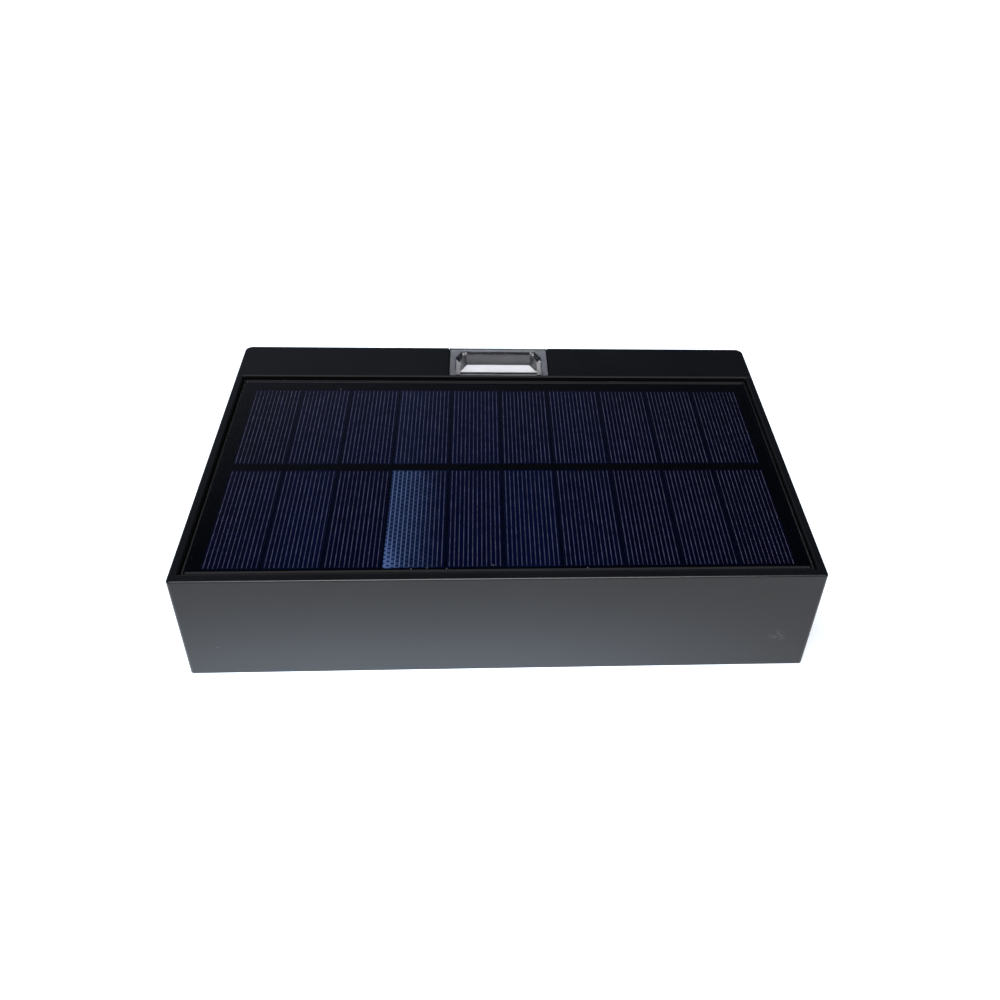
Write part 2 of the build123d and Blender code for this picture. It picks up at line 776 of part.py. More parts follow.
with BuildPart() as capacitors:
    with BuildSketch(Plane.XY.offset(control_top)):
        with Locations((control_x + capacitor_x_offset, control_y + capacitor_y_offset)):
            with GridLocations(capacitor_spacing, 1, 2, 1):
                Circle(capacitor_radius)
    extrude(amount=capacitor_height)
    chamfer(capacitors.edges().group_by(Axis.Z)[-1], capacitor_edge_chamfer)
keep(capacitors.part, "capacitors")

# ---- Switch under the board, and the sealed button that works it ----
with BuildPart() as switch_body:
    with BuildSketch(Plane.XY.offset(switch_bottom)):
        with Locations((button_x, button_y)):
            RectangleRounded(switch_size, switch_size, switch_corner_radius)
    extrude(amount=switch_height)
    with BuildSketch(Plane.XY.offset(switch_bottom)):
        with Locations((button_x, button_y)):
            Circle(plunger_radius + plunger_fit)
    extrude(
        amount=plunger_bottom + plunger_length + button_travel + plunger_end_gap - switch_bottom,
        mode=Mode.SUBTRACT,
    )
keep(switch_body.part, "switch_body")

with BuildPart() as switch_plunger:
    with BuildSketch(Plane.XY.offset(plunger_bottom)):
        with Locations((button_x, button_y)):
            Circle(plunger_radius)
    extrude(amount=plunger_length)
keep(switch_plunger.part, "switch_plunger")

ring_groove_radius = button_bore - ring_gap - ring_section
with BuildPart() as push_button:
    with BuildSketch(Plane.XY.offset(button_recess)):
        with Locations((button_x, button_y)):
            Circle(button_radius)
    extrude(amount=collar_top - button_recess)
    chamfer(push_button.edges().group_by(Axis.Z)[0], button_edge_chamfer)
    with BuildSketch(Plane.XY.offset(collar_top)):
        with Locations((button_x, button_y)):
            Circle(button_flange_radius)
    extrude(amount=button_flange_thickness)
    with BuildSketch(Plane.XY.offset(flange_top)):
        with Locations((button_x, button_y)):
            Circle(button_stem_radius)
    extrude(amount=button_stem_length)
    with BuildSketch(Plane.XY.offset(cover_thickness)):
        with Locations((button_x, button_y)):
            Circle(button_bore)
            Circle(ring_groove_radius, mode=Mode.SUBTRACT)
    extrude(amount=ring_section, mode=Mode.SUBTRACT)
keep(push_button.part, "push_button")

with BuildPart() as button_ring:
    with BuildSketch(Plane.XY.offset(cover_thickness)):
        with Locations((button_x, button_y)):
            Circle(ring_groove_radius + ring_section)
            Circle(ring_groove_radius, mode=Mode.SUBTRACT)
    extrude(amount=ring_section)
keep(button_ring.part, "button_ring")

# ---- Battery: a round cell between two bowed contacts, in a tray screwed to the cover ----
with BuildPart() as battery_holder:
    with BuildSketch(Plane.XY.offset(holder_bottom)):
        with Locations((holder_x, holder_y)):
            RectangleRounded(holder_length, holder_depth, inner_corner_radius)
    extrude(amount=cell_axis + holder_end_height - holder_bottom)
    with BuildSketch(Plane.XY.offset(holder_bottom + holder_floor)):
        with Locations((holder_x, holder_y)):
            Rectangle(2 * holder_pocket_half, holder_depth - 2 * holder_wall)
    extrude(amount=height, mode=Mode.SUBTRACT)
    # the side walls stop lower than the end walls, and dip for the fingers
    with BuildSketch(Plane.XY.offset(cell_axis + holder_side_height)):
        with Locations((holder_x, holder_y)):
            Rectangle(2 * holder_pocket_half, holder_depth)
    extrude(amount=height, mode=Mode.SUBTRACT)
    with BuildSketch(Plane.XZ.offset(-holder_y)):
        with Locations((holder_x, cell_axis + holder_side_height)):
            Circle(cell_radius)
    extrude(amount=holder_depth, both=True, mode=Mode.SUBTRACT)
    with Locations(*[(x, y, holder_bottom + holder_floor) for x, y in holder_screws_at]):
        CounterSinkHole(small_screw_hole_radius, small_screw_head_radius + pilot_gap, holder_floor)
keep(battery_holder.part, "battery_holder")

crimp = cell_length_battery - cell_nub_height - cell_crimp_setback
shoulder = cell_length_battery - cell_nub_height
with BuildPart() as battery_cell:
    with BuildSketch(Plane.XZ):
        with BuildLine():
            Polyline(
                (0, 0),
                (0, cell_radius - cell_end_chamfer),
                (cell_end_chamfer, cell_radius),
                (crimp - cell_crimp_depth, cell_radius),
                (crimp, cell_radius - cell_crimp_depth),
                (crimp + cell_crimp_depth, cell_radius),
                (shoulder - cell_end_chamfer, cell_radius),
                (shoulder, cell_radius - cell_end_chamfer),
                (shoulder, cell_nub_radius),
                (cell_length_battery, cell_nub_radius),
                (cell_length_battery, 0),
                close=True,
            )
        make_face()
    revolve(axis=Axis.X)
cell_place = Pos(holder_x - cell_length_battery / 2, holder_y, cell_axis)
keep(cell_place * battery_cell.part, "battery_cell")

with BuildPart() as battery_contacts:
    for end in (-1, 1):
        strip_x = holder_x + end * (holder_pocket_half - contact_gap - contact_thickness / 2)
        tail_x = strip_x + end * (holder_wall + 2 * contact_gap + contact_thickness)
        bow_x = strip_x - end * contact_bow
        crest = cell_axis + holder_end_height + contact_gap + contact_thickness / 2
        with BuildSketch(Plane.XZ.offset(-holder_y)):
            with BuildLine():
                Line((strip_x, cell_axis - contact_foot), (strip_x, cell_axis - contact_bow_half_height))
                ThreePointArc(
                    (strip_x, cell_axis - contact_bow_half_height),
                    (bow_x, cell_axis),
                    (strip_x, cell_axis + contact_bow_half_height),
                )
                Polyline(
                    (strip_x, cell_axis + contact_bow_half_height),
                    (strip_x, crest),
                    (tail_x, crest),
                    (tail_x, crest - contact_tail),
                )
            trace(line_width=contact_thickness)
        extrude(amount=contact_width / 2, both=True)
keep(battery_contacts.part, "battery_contacts")

floor_top = holder_bottom + holder_floor
with BuildPart() as holder_screws:
    for place_x, place_y in holder_screws_at:
        with BuildSketch(Plane.XZ.offset(-place_y)):
            with BuildLine():
                Polyline(
                    (place_x, floor_top),
                    (place_x + small_screw_head_radius, floor_top),
                    (place_x + small_screw_radius, floor_top - holder_screw_head_height),
                    (place_x + small_screw_radius, floor_top - holder_screw_length),
                    (place_x, floor_top - holder_screw_length),
                    close=True,
                )
            make_face()
        revolve(axis=Axis((place_x, place_y, 0), (0, 0, 1)))
keep(holder_screws.part, "holder_screws")


# ---- Wires: straight runs joined by arcs, each from solder pad to solder pad ----
lead_level = control_top + lead_rise
control_left = control_x - control_length / 2
pad_row = control_y + control_depth / 2 - pad_inset


def make_leads(name, routes):
    """Wires that follow these routes. Each bend takes its radius from the shorter run beside it."""
    with BuildPart() as leads:
        for points in routes:
            radii = []
            for before, corner, after in zip(points, points[1:], points[2:]):
                run_in = Vector(*corner) - Vector(*before)
                run_out = Vector(*after) - Vector(*corner)
                half_turn = math.radians(run_in.get_angle(run_out)) / 2
                radii.append(lead_bend_share * min(run_in.length, run_out.length) / math.tan(half_turn))
            with BuildLine():
                route = FilletPolyline(*points, radius=radii)
            with BuildSketch(Plane(origin=route @ 0, z_dir=route % 0)):
                RegularPolygon(lead_radius, lead_side_count)
            sweep(path=route)
            print(name, "length", round(route.length, 1), "least radius", round(min(radii), 1))
    keep(leads.part, name)


def over_to_pad(x, y, z, pad, level=lead_level):
    """A route that leaves (x, y, z) along Z, crosses at a level and comes down on a pad."""
    return [(x, y, z), (x, y, level), (pad, pad_row, level), (pad, pad_row, control_top)]


def pads(group):
    """The two pads of a group, along the control board's back edge."""
    start = control_left + pad_starts[group]
    return [start, start + pad_pitch]


panel_pads = [wire_hole_x - panel_pad_spacing / 2, wire_hole_x + panel_pad_spacing / 2]
make_leads(
    "panel_leads",
    [
        over_to_pad(x, wire_hole_y, board_bottom, pad, lead_level + panel_lead_lift)
        for x, pad in zip(panel_pads, pads("panel"))
    ],
)
for side, (face, inward, _, _, shift, _) in lamps.items():
    board_back = face + inward * (lamp_depth + led_board_thickness)
    pad_y = lamp_post_y + shift - led_pad_inset
    make_leads(
        f"{side}_led_leads",
        [over_to_pad(x, pad_y, board_back, pad) for x, pad in zip(led_pad_x[side], pads(side))],
    )

# the battery's positive wire goes straight across, and the negative one round behind the holder
positive_x = holder_x + holder_length / 2 + contact_gap + contact_thickness
negative_x = holder_x - holder_length / 2 - 2 * contact_gap - lead_radius
tail_end = cell_axis + holder_end_height + contact_gap + contact_thickness / 2 - contact_tail
lane_y = holder_y + holder_depth / 2 + battery_lane_gap
lane_z = cover_thickness + lead_radius + lead_floor_gap
rise_x = control_left - battery_rise_gap
battery_pad_x = control_left + battery_pad_inset
make_leads(
    "battery_leads",
    [
        [
            (positive_x, holder_y, lead_level),
            (battery_pad_x, holder_y, lead_level),
            (battery_pad_x, holder_y, control_top),
        ],
        [
            (negative_x, holder_y, tail_end),
            (negative_x, holder_y, lane_z),
            (negative_x, lane_y, lane_z),
            (rise_x, lane_y, lane_z),
            (rise_x, lane_y, lead_level),
            (battery_pad_x, lane_y, lead_level),
            (battery_pad_x, lane_y, control_top),
        ],
    ],
)
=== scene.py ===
# %% [markdown]
# # A solar fence light, dressed in Blender
# The light is a low black box that hangs on a fence. Its solids come from the CAD model and are loaded as
# a fixed frame: they are never moved or reshaped here. This script gives each solid a finish, adds the fine
# pieces that a CAD model leaves out, and sets a camera, a floor and soft lights round it.

# %% Load the frame
import json
import math

import bpy
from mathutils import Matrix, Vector

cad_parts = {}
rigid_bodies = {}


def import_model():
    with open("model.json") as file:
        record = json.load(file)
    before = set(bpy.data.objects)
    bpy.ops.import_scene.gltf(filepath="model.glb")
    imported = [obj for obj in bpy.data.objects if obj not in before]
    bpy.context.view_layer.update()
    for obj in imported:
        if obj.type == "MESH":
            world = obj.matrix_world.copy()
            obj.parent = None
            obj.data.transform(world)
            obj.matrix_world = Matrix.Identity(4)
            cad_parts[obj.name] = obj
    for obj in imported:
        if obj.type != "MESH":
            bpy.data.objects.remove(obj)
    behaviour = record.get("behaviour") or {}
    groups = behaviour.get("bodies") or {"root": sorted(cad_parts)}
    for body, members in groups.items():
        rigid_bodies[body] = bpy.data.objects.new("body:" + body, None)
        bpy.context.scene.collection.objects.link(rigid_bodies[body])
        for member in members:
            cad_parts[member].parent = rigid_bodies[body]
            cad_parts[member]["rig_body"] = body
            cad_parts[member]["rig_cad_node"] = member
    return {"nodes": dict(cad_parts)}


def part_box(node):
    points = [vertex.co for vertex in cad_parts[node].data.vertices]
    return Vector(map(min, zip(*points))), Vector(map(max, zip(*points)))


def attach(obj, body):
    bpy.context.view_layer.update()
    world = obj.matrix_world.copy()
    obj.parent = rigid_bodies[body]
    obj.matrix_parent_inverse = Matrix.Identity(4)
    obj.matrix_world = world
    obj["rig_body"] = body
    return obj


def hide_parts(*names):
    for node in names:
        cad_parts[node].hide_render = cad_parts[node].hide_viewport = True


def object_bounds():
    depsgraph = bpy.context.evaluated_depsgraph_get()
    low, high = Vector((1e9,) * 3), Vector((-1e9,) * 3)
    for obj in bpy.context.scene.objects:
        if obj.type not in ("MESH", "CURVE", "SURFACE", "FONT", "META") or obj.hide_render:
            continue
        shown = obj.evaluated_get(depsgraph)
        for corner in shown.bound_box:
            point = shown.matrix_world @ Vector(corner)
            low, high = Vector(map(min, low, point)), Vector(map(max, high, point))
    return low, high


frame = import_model()
nodes = frame["nodes"]
cad_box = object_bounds()
MM = 0.001
print("CAD nodes:", len(nodes), "box in mm:", [round(side / MM, 1) for side in cad_box[1] - cad_box[0]])

# %% [markdown]
# ## Camera
# The photograph looks down on the light at about forty degrees, from close by, so the box narrows towards
# the fence side. Its middle lies a little off the camera's own axis, which a small lens shift gives without
# turning the camera. Depth of field stays off, because the whole box is sharp.

# %% Camera
camera_data = bpy.data.cameras.new("camera")
camera = bpy.data.objects.new("camera", camera_data)
bpy.context.scene.collection.objects.link(camera)
camera.location = Vector((-6.87, -229.77, 219.58)) * MM
camera.rotation_euler = [math.radians(angle) for angle in (52.046, -2.483, -3.172)]
camera_data.lens = 34.86
camera_data.sensor_width = 36.0
camera_data.shift_x = -0.0466
camera_data.shift_y = -0.0638
camera_data.clip_start = 10 * MM
bpy.context.scene.camera = camera
bpy.context.scene.view_settings.view_transform = "Standard"
print("camera distance in mm:", round(camera.location.length / MM))

# %% [markdown]
# ## Shader node groups
# Moulded plastic is never one flat colour. The mould leaves a fine grain, the gloss wanders a little, and
# dust settles on it. Several materials need the same grain and the same dust, so each is a node group,
# built once, with its amounts as inputs. The helpers come first: each adds one node and returns its output,
# so that a pattern reads like a sum.

# %% Groups and their sockets
SOCKET_KINDS = {"value": "NodeSocketFloat", "colour": "NodeSocketColor", "vector": "NodeSocketVector"}


def new_group(name, inputs, outputs):
    """An empty shader node group. Returns it with its input node and its output node."""
    group = bpy.data.node_groups.new(name, "ShaderNodeTree")
    for label, kind, default in inputs:
        socket = group.interface.new_socket(label, in_out="INPUT", socket_type=SOCKET_KINDS[kind])
        socket.default_value = default
    for label, kind in outputs:
        group.interface.new_socket(label, in_out="OUTPUT", socket_type=SOCKET_KINDS[kind])
    return group, group.nodes.new("NodeGroupInput"), group.nodes.new("NodeGroupOutput")


def feed(tree, socket, value):
    """Link a socket to another one, or set its value."""
    if isinstance(value, bpy.types.NodeSocket):
        tree.links.new(value, socket)
    else:
        socket.default_value = value


print("kinds of socket:", ", ".join(SOCKET_KINDS))


# %% Maths, noise and colour
def maths(tree, operation, *values):
    """One Math node. Returns its output."""
    node = tree.nodes.new("ShaderNodeMath")
    node.operation = operation
    for socket, value in zip(node.inputs, values):
        feed(tree, socket, value)
    return node.outputs[0]


def noise(tree, vector, scale, detail=2.0, rough=0.5):
    """A noise texture. Returns its value, which stays near 0.5."""
    node = tree.nodes.new("ShaderNodeTexNoise")
    tree.links.new(vector, node.inputs["Vector"])
    feed(tree, node.inputs["Scale"], scale)
    node.inputs["Detail"].default_value = detail
    node.inputs["Roughness"].default_value = rough
    return node.outputs["Fac"]


def stepped(tree, value, low, high):
    """0 below low, 1 above high, smooth between."""
    node = tree.nodes.new("ShaderNodeMapRange")
    node.interpolation_type = "SMOOTHSTEP"
    tree.links.new(value, node.inputs["Value"])
    node.inputs["From Min"].default_value = low
    node.inputs["From Max"].default_value = high
    return node.outputs["Result"]


def faded(tree, value, low, high):
    """1 below low, 0 above high, smooth between."""
    return maths(tree, "SUBTRACT", 1.0, stepped(tree, value, low, high))


def mix_colour(tree, amount, first, second):
    """One colour turning into another. Returns the colour."""
    node = tree.nodes.new("ShaderNodeMix")
    node.data_type = "RGBA"
    feed(tree, node.inputs["Factor"], amount)
    feed(tree, node.inputs["A"], first)
    feed(tree, node.inputs["B"], second)
    return node.outputs["Result"]


def object_place(tree):
    """Object coordinates, in metres."""
    return tree.nodes.new("ShaderNodeTexCoord").outputs["Object"]


def object_axes(tree):
    """Object coordinates as three numbers, named X, Y and Z."""
    split = tree.nodes.new("ShaderNodeSeparateXYZ")
    tree.links.new(object_place(tree), split.inputs[0])
    return split.outputs


# %% [markdown]
# ### Moulded surface
# A spark-eroded mould prints tiny rounded pits, some tenths of a millimetre across. A noise at that size
# feeds a Bump node, and a slower noise moves the tone and the roughness, as on a real panel.

# %% Group: moulded surface
pit_depth = 0.02 * MM
drift_scale = 45.0  # swells about 20 mm across
moulded, ins, outs = new_group(
    "moulded_surface",
    [
        ("Tone", "colour", (0.02, 0.02, 0.02, 1)),
        ("Tone Spread", "value", 0.1),
        ("Roughness", "value", 0.5),
        ("Roughness Spread", "value", 0.1),
        ("Grain Size", "value", 0.4 * MM),
        ("Grain Depth", "value", 0.3),
    ],
    [("Color", "colour"), ("Roughness", "value"), ("Normal", "vector")],
)
place = object_place(moulded)
grain_scale = maths(moulded, "DIVIDE", 1.0, ins.outputs["Grain Size"])
grain = noise(moulded, place, grain_scale, detail=3.0, rough=0.6)
bump = moulded.nodes.new("ShaderNodeBump")
bump.inputs["Distance"].default_value = pit_depth
moulded.links.new(ins.outputs["Grain Depth"], bump.inputs["Strength"])
moulded.links.new(grain, bump.inputs["Height"])
moulded.links.new(bump.outputs["Normal"], outs.inputs["Normal"])
drift = maths(moulded, "SUBTRACT", noise(moulded, place, drift_scale, detail=4.0, rough=0.6), 0.5)
wander = maths(moulded, "MULTIPLY_ADD", drift, ins.outputs["Roughness Spread"], ins.outputs["Roughness"])
moulded.links.new(wander, outs.inputs["Roughness"])
lift = maths(moulded, "MULTIPLY_ADD", drift, ins.outputs["Tone Spread"], 1.0)
scaled = moulded.nodes.new("ShaderNodeVectorMath")
scaled.operation = "SCALE"
moulded.links.new(ins.outputs["Tone"], scaled.inputs[0])
moulded.links.new(lift, scaled.inputs["Scale"])
moulded.links.new(scaled.outputs[0], outs.inputs["Color"])
print("group:", moulded.name, "nodes:", len(moulded.nodes))

# %% [markdown]
# ### Dust
# Loose specks are cells of a Voronoi texture whose middle is close by. Only some cells hold a speck, which
# the random colour of the cell decides.

# %% Group: dust
dust, ins, outs = new_group(
    "dust_specks",
    [("Spacing", "value", 4.0 * MM), ("Size", "value", 0.03), ("Share", "value", 0.3)],
    [("Mask", "value")],
)
cells = dust.nodes.new("ShaderNodeTexVoronoi")
cells.inputs["Randomness"].default_value = 1.0
dust.links.new(object_place(dust), cells.inputs["Vector"])
dust.links.new(maths(dust, "DIVIDE", 1.0, ins.outputs["Spacing"]), cells.inputs["Scale"])
near = maths(dust, "LESS_THAN", cells.outputs["Distance"], ins.outputs["Size"])
chosen = dust.nodes.new("ShaderNodeSeparateColor")
dust.links.new(cells.outputs["Color"], chosen.inputs["Color"])
kept = maths(dust, "LESS_THAN", chosen.outputs["Red"], ins.outputs["Share"])
dust.links.new(maths(dust, "MULTIPLY", near, kept), outs.inputs["Mask"])
print("group:", dust.name, "nodes:", len(dust.nodes))


# %% [markdown]
# ## Materials
# Each material is a Principled BSDF whose colour, roughness and normal come from the groups above. Numbers
# that are the same all over a surface sit on the shader's own sockets.


# %% Material helpers
def new_material(name, **sockets):
    """A Principled material with plain values on its sockets. Returns it with its node tree and shader."""
    material = bpy.data.materials.new(name)
    material.use_nodes = True
    tree = material.node_tree
    shader = tree.nodes["Principled BSDF"]
    for label, value in sockets.items():
        shader.inputs[label.replace("_", " ")].default_value = value
    return material, tree, shader


def use_group(tree, group, **values):
    """Place a node group in a material, with its own values."""
    node = tree.nodes.new("ShaderNodeGroup")
    node.node_tree = group
    for label, value in values.items():
        node.inputs[label.replace("_", " ")].default_value = value
    return node


def link_surface(tree, shader, surface, colour=None):
    """Give a shader the colour, roughness and normal of a surface, or another colour."""
    tree.links.new(surface.outputs["Color"] if colour is None else colour, shader.inputs["Base Color"])
    tree.links.new(surface.outputs["Roughness"], shader.inputs["Roughness"])
    tree.links.new(surface.outputs["Normal"], shader.inputs["Normal"])


def roughen(tree, shader, mask, amount):
    """Add to the roughness that a shader has, where the mask is 1."""
    socket = shader.inputs["Roughness"]
    plain_roughness = socket.links[0].from_socket
    tree.links.new(maths(tree, "MULTIPLY_ADD", mask, amount, plain_roughness), socket)


# %% [markdown]
# ### Plastics, rubbers and metals
# The housing is black ABS with a fine grain and a satin gloss. The cover beneath is the same plastic from
# another mould. Inside there are soldered boards, silicone, a wrapped battery cell and plated steel. All of
# them are the moulded surface with their own tone, gloss and grain, and a metal is the same with its shader
# set to metallic.

# %% How a plastic and a metal are made
DUST_TONE = (0.35, 0.35, 0.34, 1)
DUST_SPACING = 3.5 * MM
DUST_SIZE = 0.035


def plastic(name, tone, roughness, grain_mm=0.4, grain_depth=0.3, dusty=0.0, **sockets):
    """Moulded plastic, rubber, board or wire: tone with drift, grain and a little dust."""
    material, tree, shader = new_material(name, **sockets)
    surface = use_group(
        tree,
        moulded,
        Tone=(*tone, 1),
        Tone_Spread=0.5,
        Roughness=roughness,
        Roughness_Spread=0.25,
        Grain_Size=grain_mm * MM,
        Grain_Depth=grain_depth,
    )
    colour = surface.outputs["Color"]
    if dusty:
        specks = use_group(tree, dust, Spacing=DUST_SPACING, Size=DUST_SIZE, Share=dusty)
        colour = mix_colour(tree, specks.outputs["Mask"], colour, DUST_TONE)
    link_surface(tree, shader, surface, colour)
    return material


def metal(name, tone, roughness):
    """Plated or drawn metal: the same grain, finer, on a metallic shader."""
    return plastic(name, tone, roughness, grain_mm=0.15, grain_depth=0.15, Metallic=1.0)


# %% Plastics and rubbers
# Each line gives a name, a tone, a roughness, the size of the grain in mm and its depth.
black_plastic = plastic("black_plastic", (0.0044, 0.0049, 0.0066), 0.31, 0.35, 0.35, dusty=0.02)
cover_plastic = plastic("cover_plastic", (0.0028, 0.0032, 0.0042), 0.5, 0.5, 0.5, dusty=0.02)
cup_plastic = plastic("cup_plastic", (0.014, 0.014, 0.014), 0.45)
silicone = plastic("silicone", (0.16, 0.16, 0.165), 0.6, 0.8, 0.2)
foam_tape = plastic("foam_tape", (0.03, 0.03, 0.03), 0.85, 0.25, 0.9)
white_plastic = plastic("white_plastic", (0.54, 0.54, 0.55), 0.3, 0.6, 0.1)
holder_plastic = plastic("holder_plastic", (0.02, 0.02, 0.021), 0.5, 0.4, 0.3)
switch_plastic = plastic("switch_plastic", (0.03, 0.03, 0.032), 0.45)
button_plastic = plastic("button_plastic", (0.022, 0.022, 0.024), 0.38, 0.3, 0.3)
red_wire = plastic("red_wire", (0.45, 0.02, 0.02), 0.4, 1.0, 0.1)
white_wire = plastic("white_wire", (0.7, 0.7, 0.68), 0.4, 1.0, 0.1)
black_epoxy = plastic("black_epoxy", (0.015, 0.015, 0.016), 0.55, 0.2, 0.4)
ferrite = plastic("ferrite", (0.05, 0.048, 0.045), 0.6, 0.2, 0.5)
cell_wrap = plastic("cell_wrap", (0.02, 0.11, 0.3), 0.28, 2.0, 0.12)
print("materials so far:", len(bpy.data.materials))

# %% Boards and metals
white_board = plastic("white_board", (0.26, 0.26, 0.26), 0.3, 1.2, 0.15)
green_board = plastic("green_board", (0.01, 0.13, 0.04), 0.28, 1.2, 0.2)
steel = metal("steel", (0.6, 0.6, 0.58), 0.32)
nickel = metal("nickel", (0.72, 0.7, 0.66), 0.22)
can_aluminium = metal("can_aluminium", (0.8, 0.8, 0.81), 0.3)
print("materials so far:", len(bpy.data.materials))

# %% [markdown]
# ### Marks on the housing
# The front face has one faint star-shaped scuff near its right end. It is a fine noise that shows only
# around one point. The front edge of the lamp strip was wiped when the groove before it was sealed, so it is
# duller than the other edges. It is found by its place, as the housing is one solid.

# %% Scuff on the front face
scuff_middle = Vector((76.4, -55.0, 12.0)) * MM
scuff_reach = 3.4 * MM
scuff_core = 0.2 * scuff_reach
scuff_tone = (0.032, 0.032, 0.034, 1)
scratch_scale = 1100.0
scratch_edge = (0.5, 0.62)
tree = black_plastic.node_tree
shader = tree.nodes["Principled BSDF"]
place = object_place(tree)
from_scuff = tree.nodes.new("ShaderNodeVectorMath")
from_scuff.operation = "DISTANCE"
tree.links.new(place, from_scuff.inputs[0])
from_scuff.inputs[1].default_value = scuff_middle
near_scuff = faded(tree, from_scuff.outputs["Value"], scuff_core, scuff_reach)
scratches = stepped(tree, noise(tree, place, scratch_scale), *scratch_edge)
scuff = maths(tree, "MULTIPLY", near_scuff, scratches)
plain_tone = shader.inputs["Base Color"].links[0].from_socket
tree.links.new(mix_colour(tree, scuff, plain_tone, scuff_tone), shader.inputs["Base Color"])
print("scuff across in mm:", round(2 * scuff_reach / MM, 1))

# %% Dull front edge of the strip
edge_y = 37.55 * MM
edge_reach = 0.35 * MM
edge_low = 35.3 * MM
edge_dullness = 0.45
axes = object_axes(tree)
along_edge = maths(tree, "COMPARE", axes["Y"], edge_y, edge_reach)
dull = maths(tree, "MULTIPLY", along_edge, maths(tree, "GREATER_THAN", axes["Z"], edge_low))
roughen(tree, shader, dull, edge_dullness)
print("housing finish nodes:", len(tree.nodes))

# %% [markdown]
# ### Clear plastic
# The lamp windows are clear plastic with a trace of haze. Glass in a path tracer casts a dark shadow on what
# lies behind it, because light is only found through it by chance. So shadow rays go straight through, with
# a small loss, and the white scoop under the window is lit evenly.

# %% How a clear plastic is made
LIGHT_KEPT = 0.93  # share of the light that a clear piece lets through


def let_shadow_rays_through(tree, shader):
    """Mix in a Transparent shader for shadow rays."""
    through = tree.nodes.new("ShaderNodeBsdfTransparent")
    through.inputs["Color"].default_value = (LIGHT_KEPT, LIGHT_KEPT, LIGHT_KEPT, 1)
    light_path = tree.nodes.new("ShaderNodeLightPath")
    either = tree.nodes.new("ShaderNodeMixShader")
    tree.links.new(light_path.outputs["Is Shadow Ray"], either.inputs["Fac"])
    tree.links.new(shader.outputs["BSDF"], either.inputs[1])
    tree.links.new(through.outputs["BSDF"], either.inputs[2])
    tree.links.new(either.outputs["Shader"], tree.nodes["Material Output"].inputs["Surface"])


def clear(name, tone, ior, haze):
    """Clear moulded plastic with a trace of haze. Returns it with its node tree and shader."""
    material, tree, shader = new_material(name, Transmission_Weight=1.0, IOR=ior)
    surface = use_group(
        tree,
        moulded,
        Tone=(*tone, 1),
        Tone_Spread=0.05,
        Roughness=haze,
        Roughness_Spread=0.06,
        Grain_Size=0.9 * MM,
        Grain_Depth=0.04,
    )
    link_surface(tree, shader, surface)
    let_shadow_rays_through(tree, shader)
    return material, tree, shader


clear_plastic, tree, shader = clear("clear_plastic", (0.93, 0.93, 0.96), ior=1.58, haze=0.05)
print("lens finish nodes:", len(tree.nodes))

# %% [markdown]
# ### Film over the panel
# The film is smooth and clear. Where it was pressed at its edges it stayed matt, most of all along the rear
# edge. How far a point is inside each edge comes from the Object coordinates, as a share of that edge's own
# band, and the nearest edge decides how rough the film is there.

# %% Film that is matt along its edges
film_low, film_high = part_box("panel_film")
side_band = 0.55 * MM
front_band = 0.9 * MM
rear_band = 1.7 * MM
band_roughness = 0.5
matt_part = 0.7  # of a band's width, and clear from a little beyond it
clear_part = 1.2
clear_film, tree, shader = clear("clear_film", (0.97, 0.97, 0.98), ior=1.5, haze=0.12)
axes = object_axes(tree)
from_edges = [
    (maths(tree, "SUBTRACT", axes["X"], film_low.x), side_band),
    (maths(tree, "SUBTRACT", film_high.x, axes["X"]), side_band),
    (maths(tree, "SUBTRACT", axes["Y"], film_low.y), front_band),
    (maths(tree, "SUBTRACT", film_high.y, axes["Y"]), rear_band),
]
shares = [maths(tree, "DIVIDE", distance, band) for distance, band in from_edges]
nearest = shares[0]
for share in shares[1:]:
    nearest = maths(tree, "MINIMUM", nearest, share)
roughen(tree, shader, faded(tree, nearest, matt_part, clear_part), band_roughness)
print("film in mm:", [round(side / MM, 1) for side in film_high - film_low])

# %% [markdown]
# ### Solar cells
# A cell is a thin slice of silicon with a dark blue coating that keeps it from shining. The slices are cut
# from a printed wafer, so a cell is as wide as the printed lines on it: twelve on most, thirteen on two. The
# coating is never equally thick, so each cell has its own shade of navy, which a White Noise texture gives
# from the cell's column and row.

# %% Solar cell sizes
cells_low, cells_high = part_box("solar_cells")
LINES = (12, 12, 12, 13, 12, 12, 13, 12, 12, 12)  # printed lines on the cells of a row, from left to right
cell_gap = 0.85 * MM
row_gap = 3.0 * MM
front_row_share = 0.5136
line_pitch = (cells_high.x - cells_low.x - (len(LINES) - 1) * cell_gap) / sum(LINES)
rows_depth = cells_high.y - cells_low.y - row_gap
front_depth = rows_depth * front_row_share
back_depth = rows_depth - front_depth
rows = {"front": (cells_low.y, front_depth), "back": (cells_high.y - back_depth, back_depth)}
cell_starts = [cells_low.x + sum(LINES[:n]) * line_pitch + n * cell_gap for n in range(len(LINES))]
print("line pitch in mm:", round(line_pitch / MM, 3))
print("front edge and depth of the rows in mm:", [[round(v / MM, 1) for v in row] for row in rows.values()])

# %% [markdown]
# ### Panel board
# The board's resist is black. Between the cells of a row the blue-black glue that holds them comes up, so
# the gaps inside a row are navy, while the gap between the rows and the margins stay black.

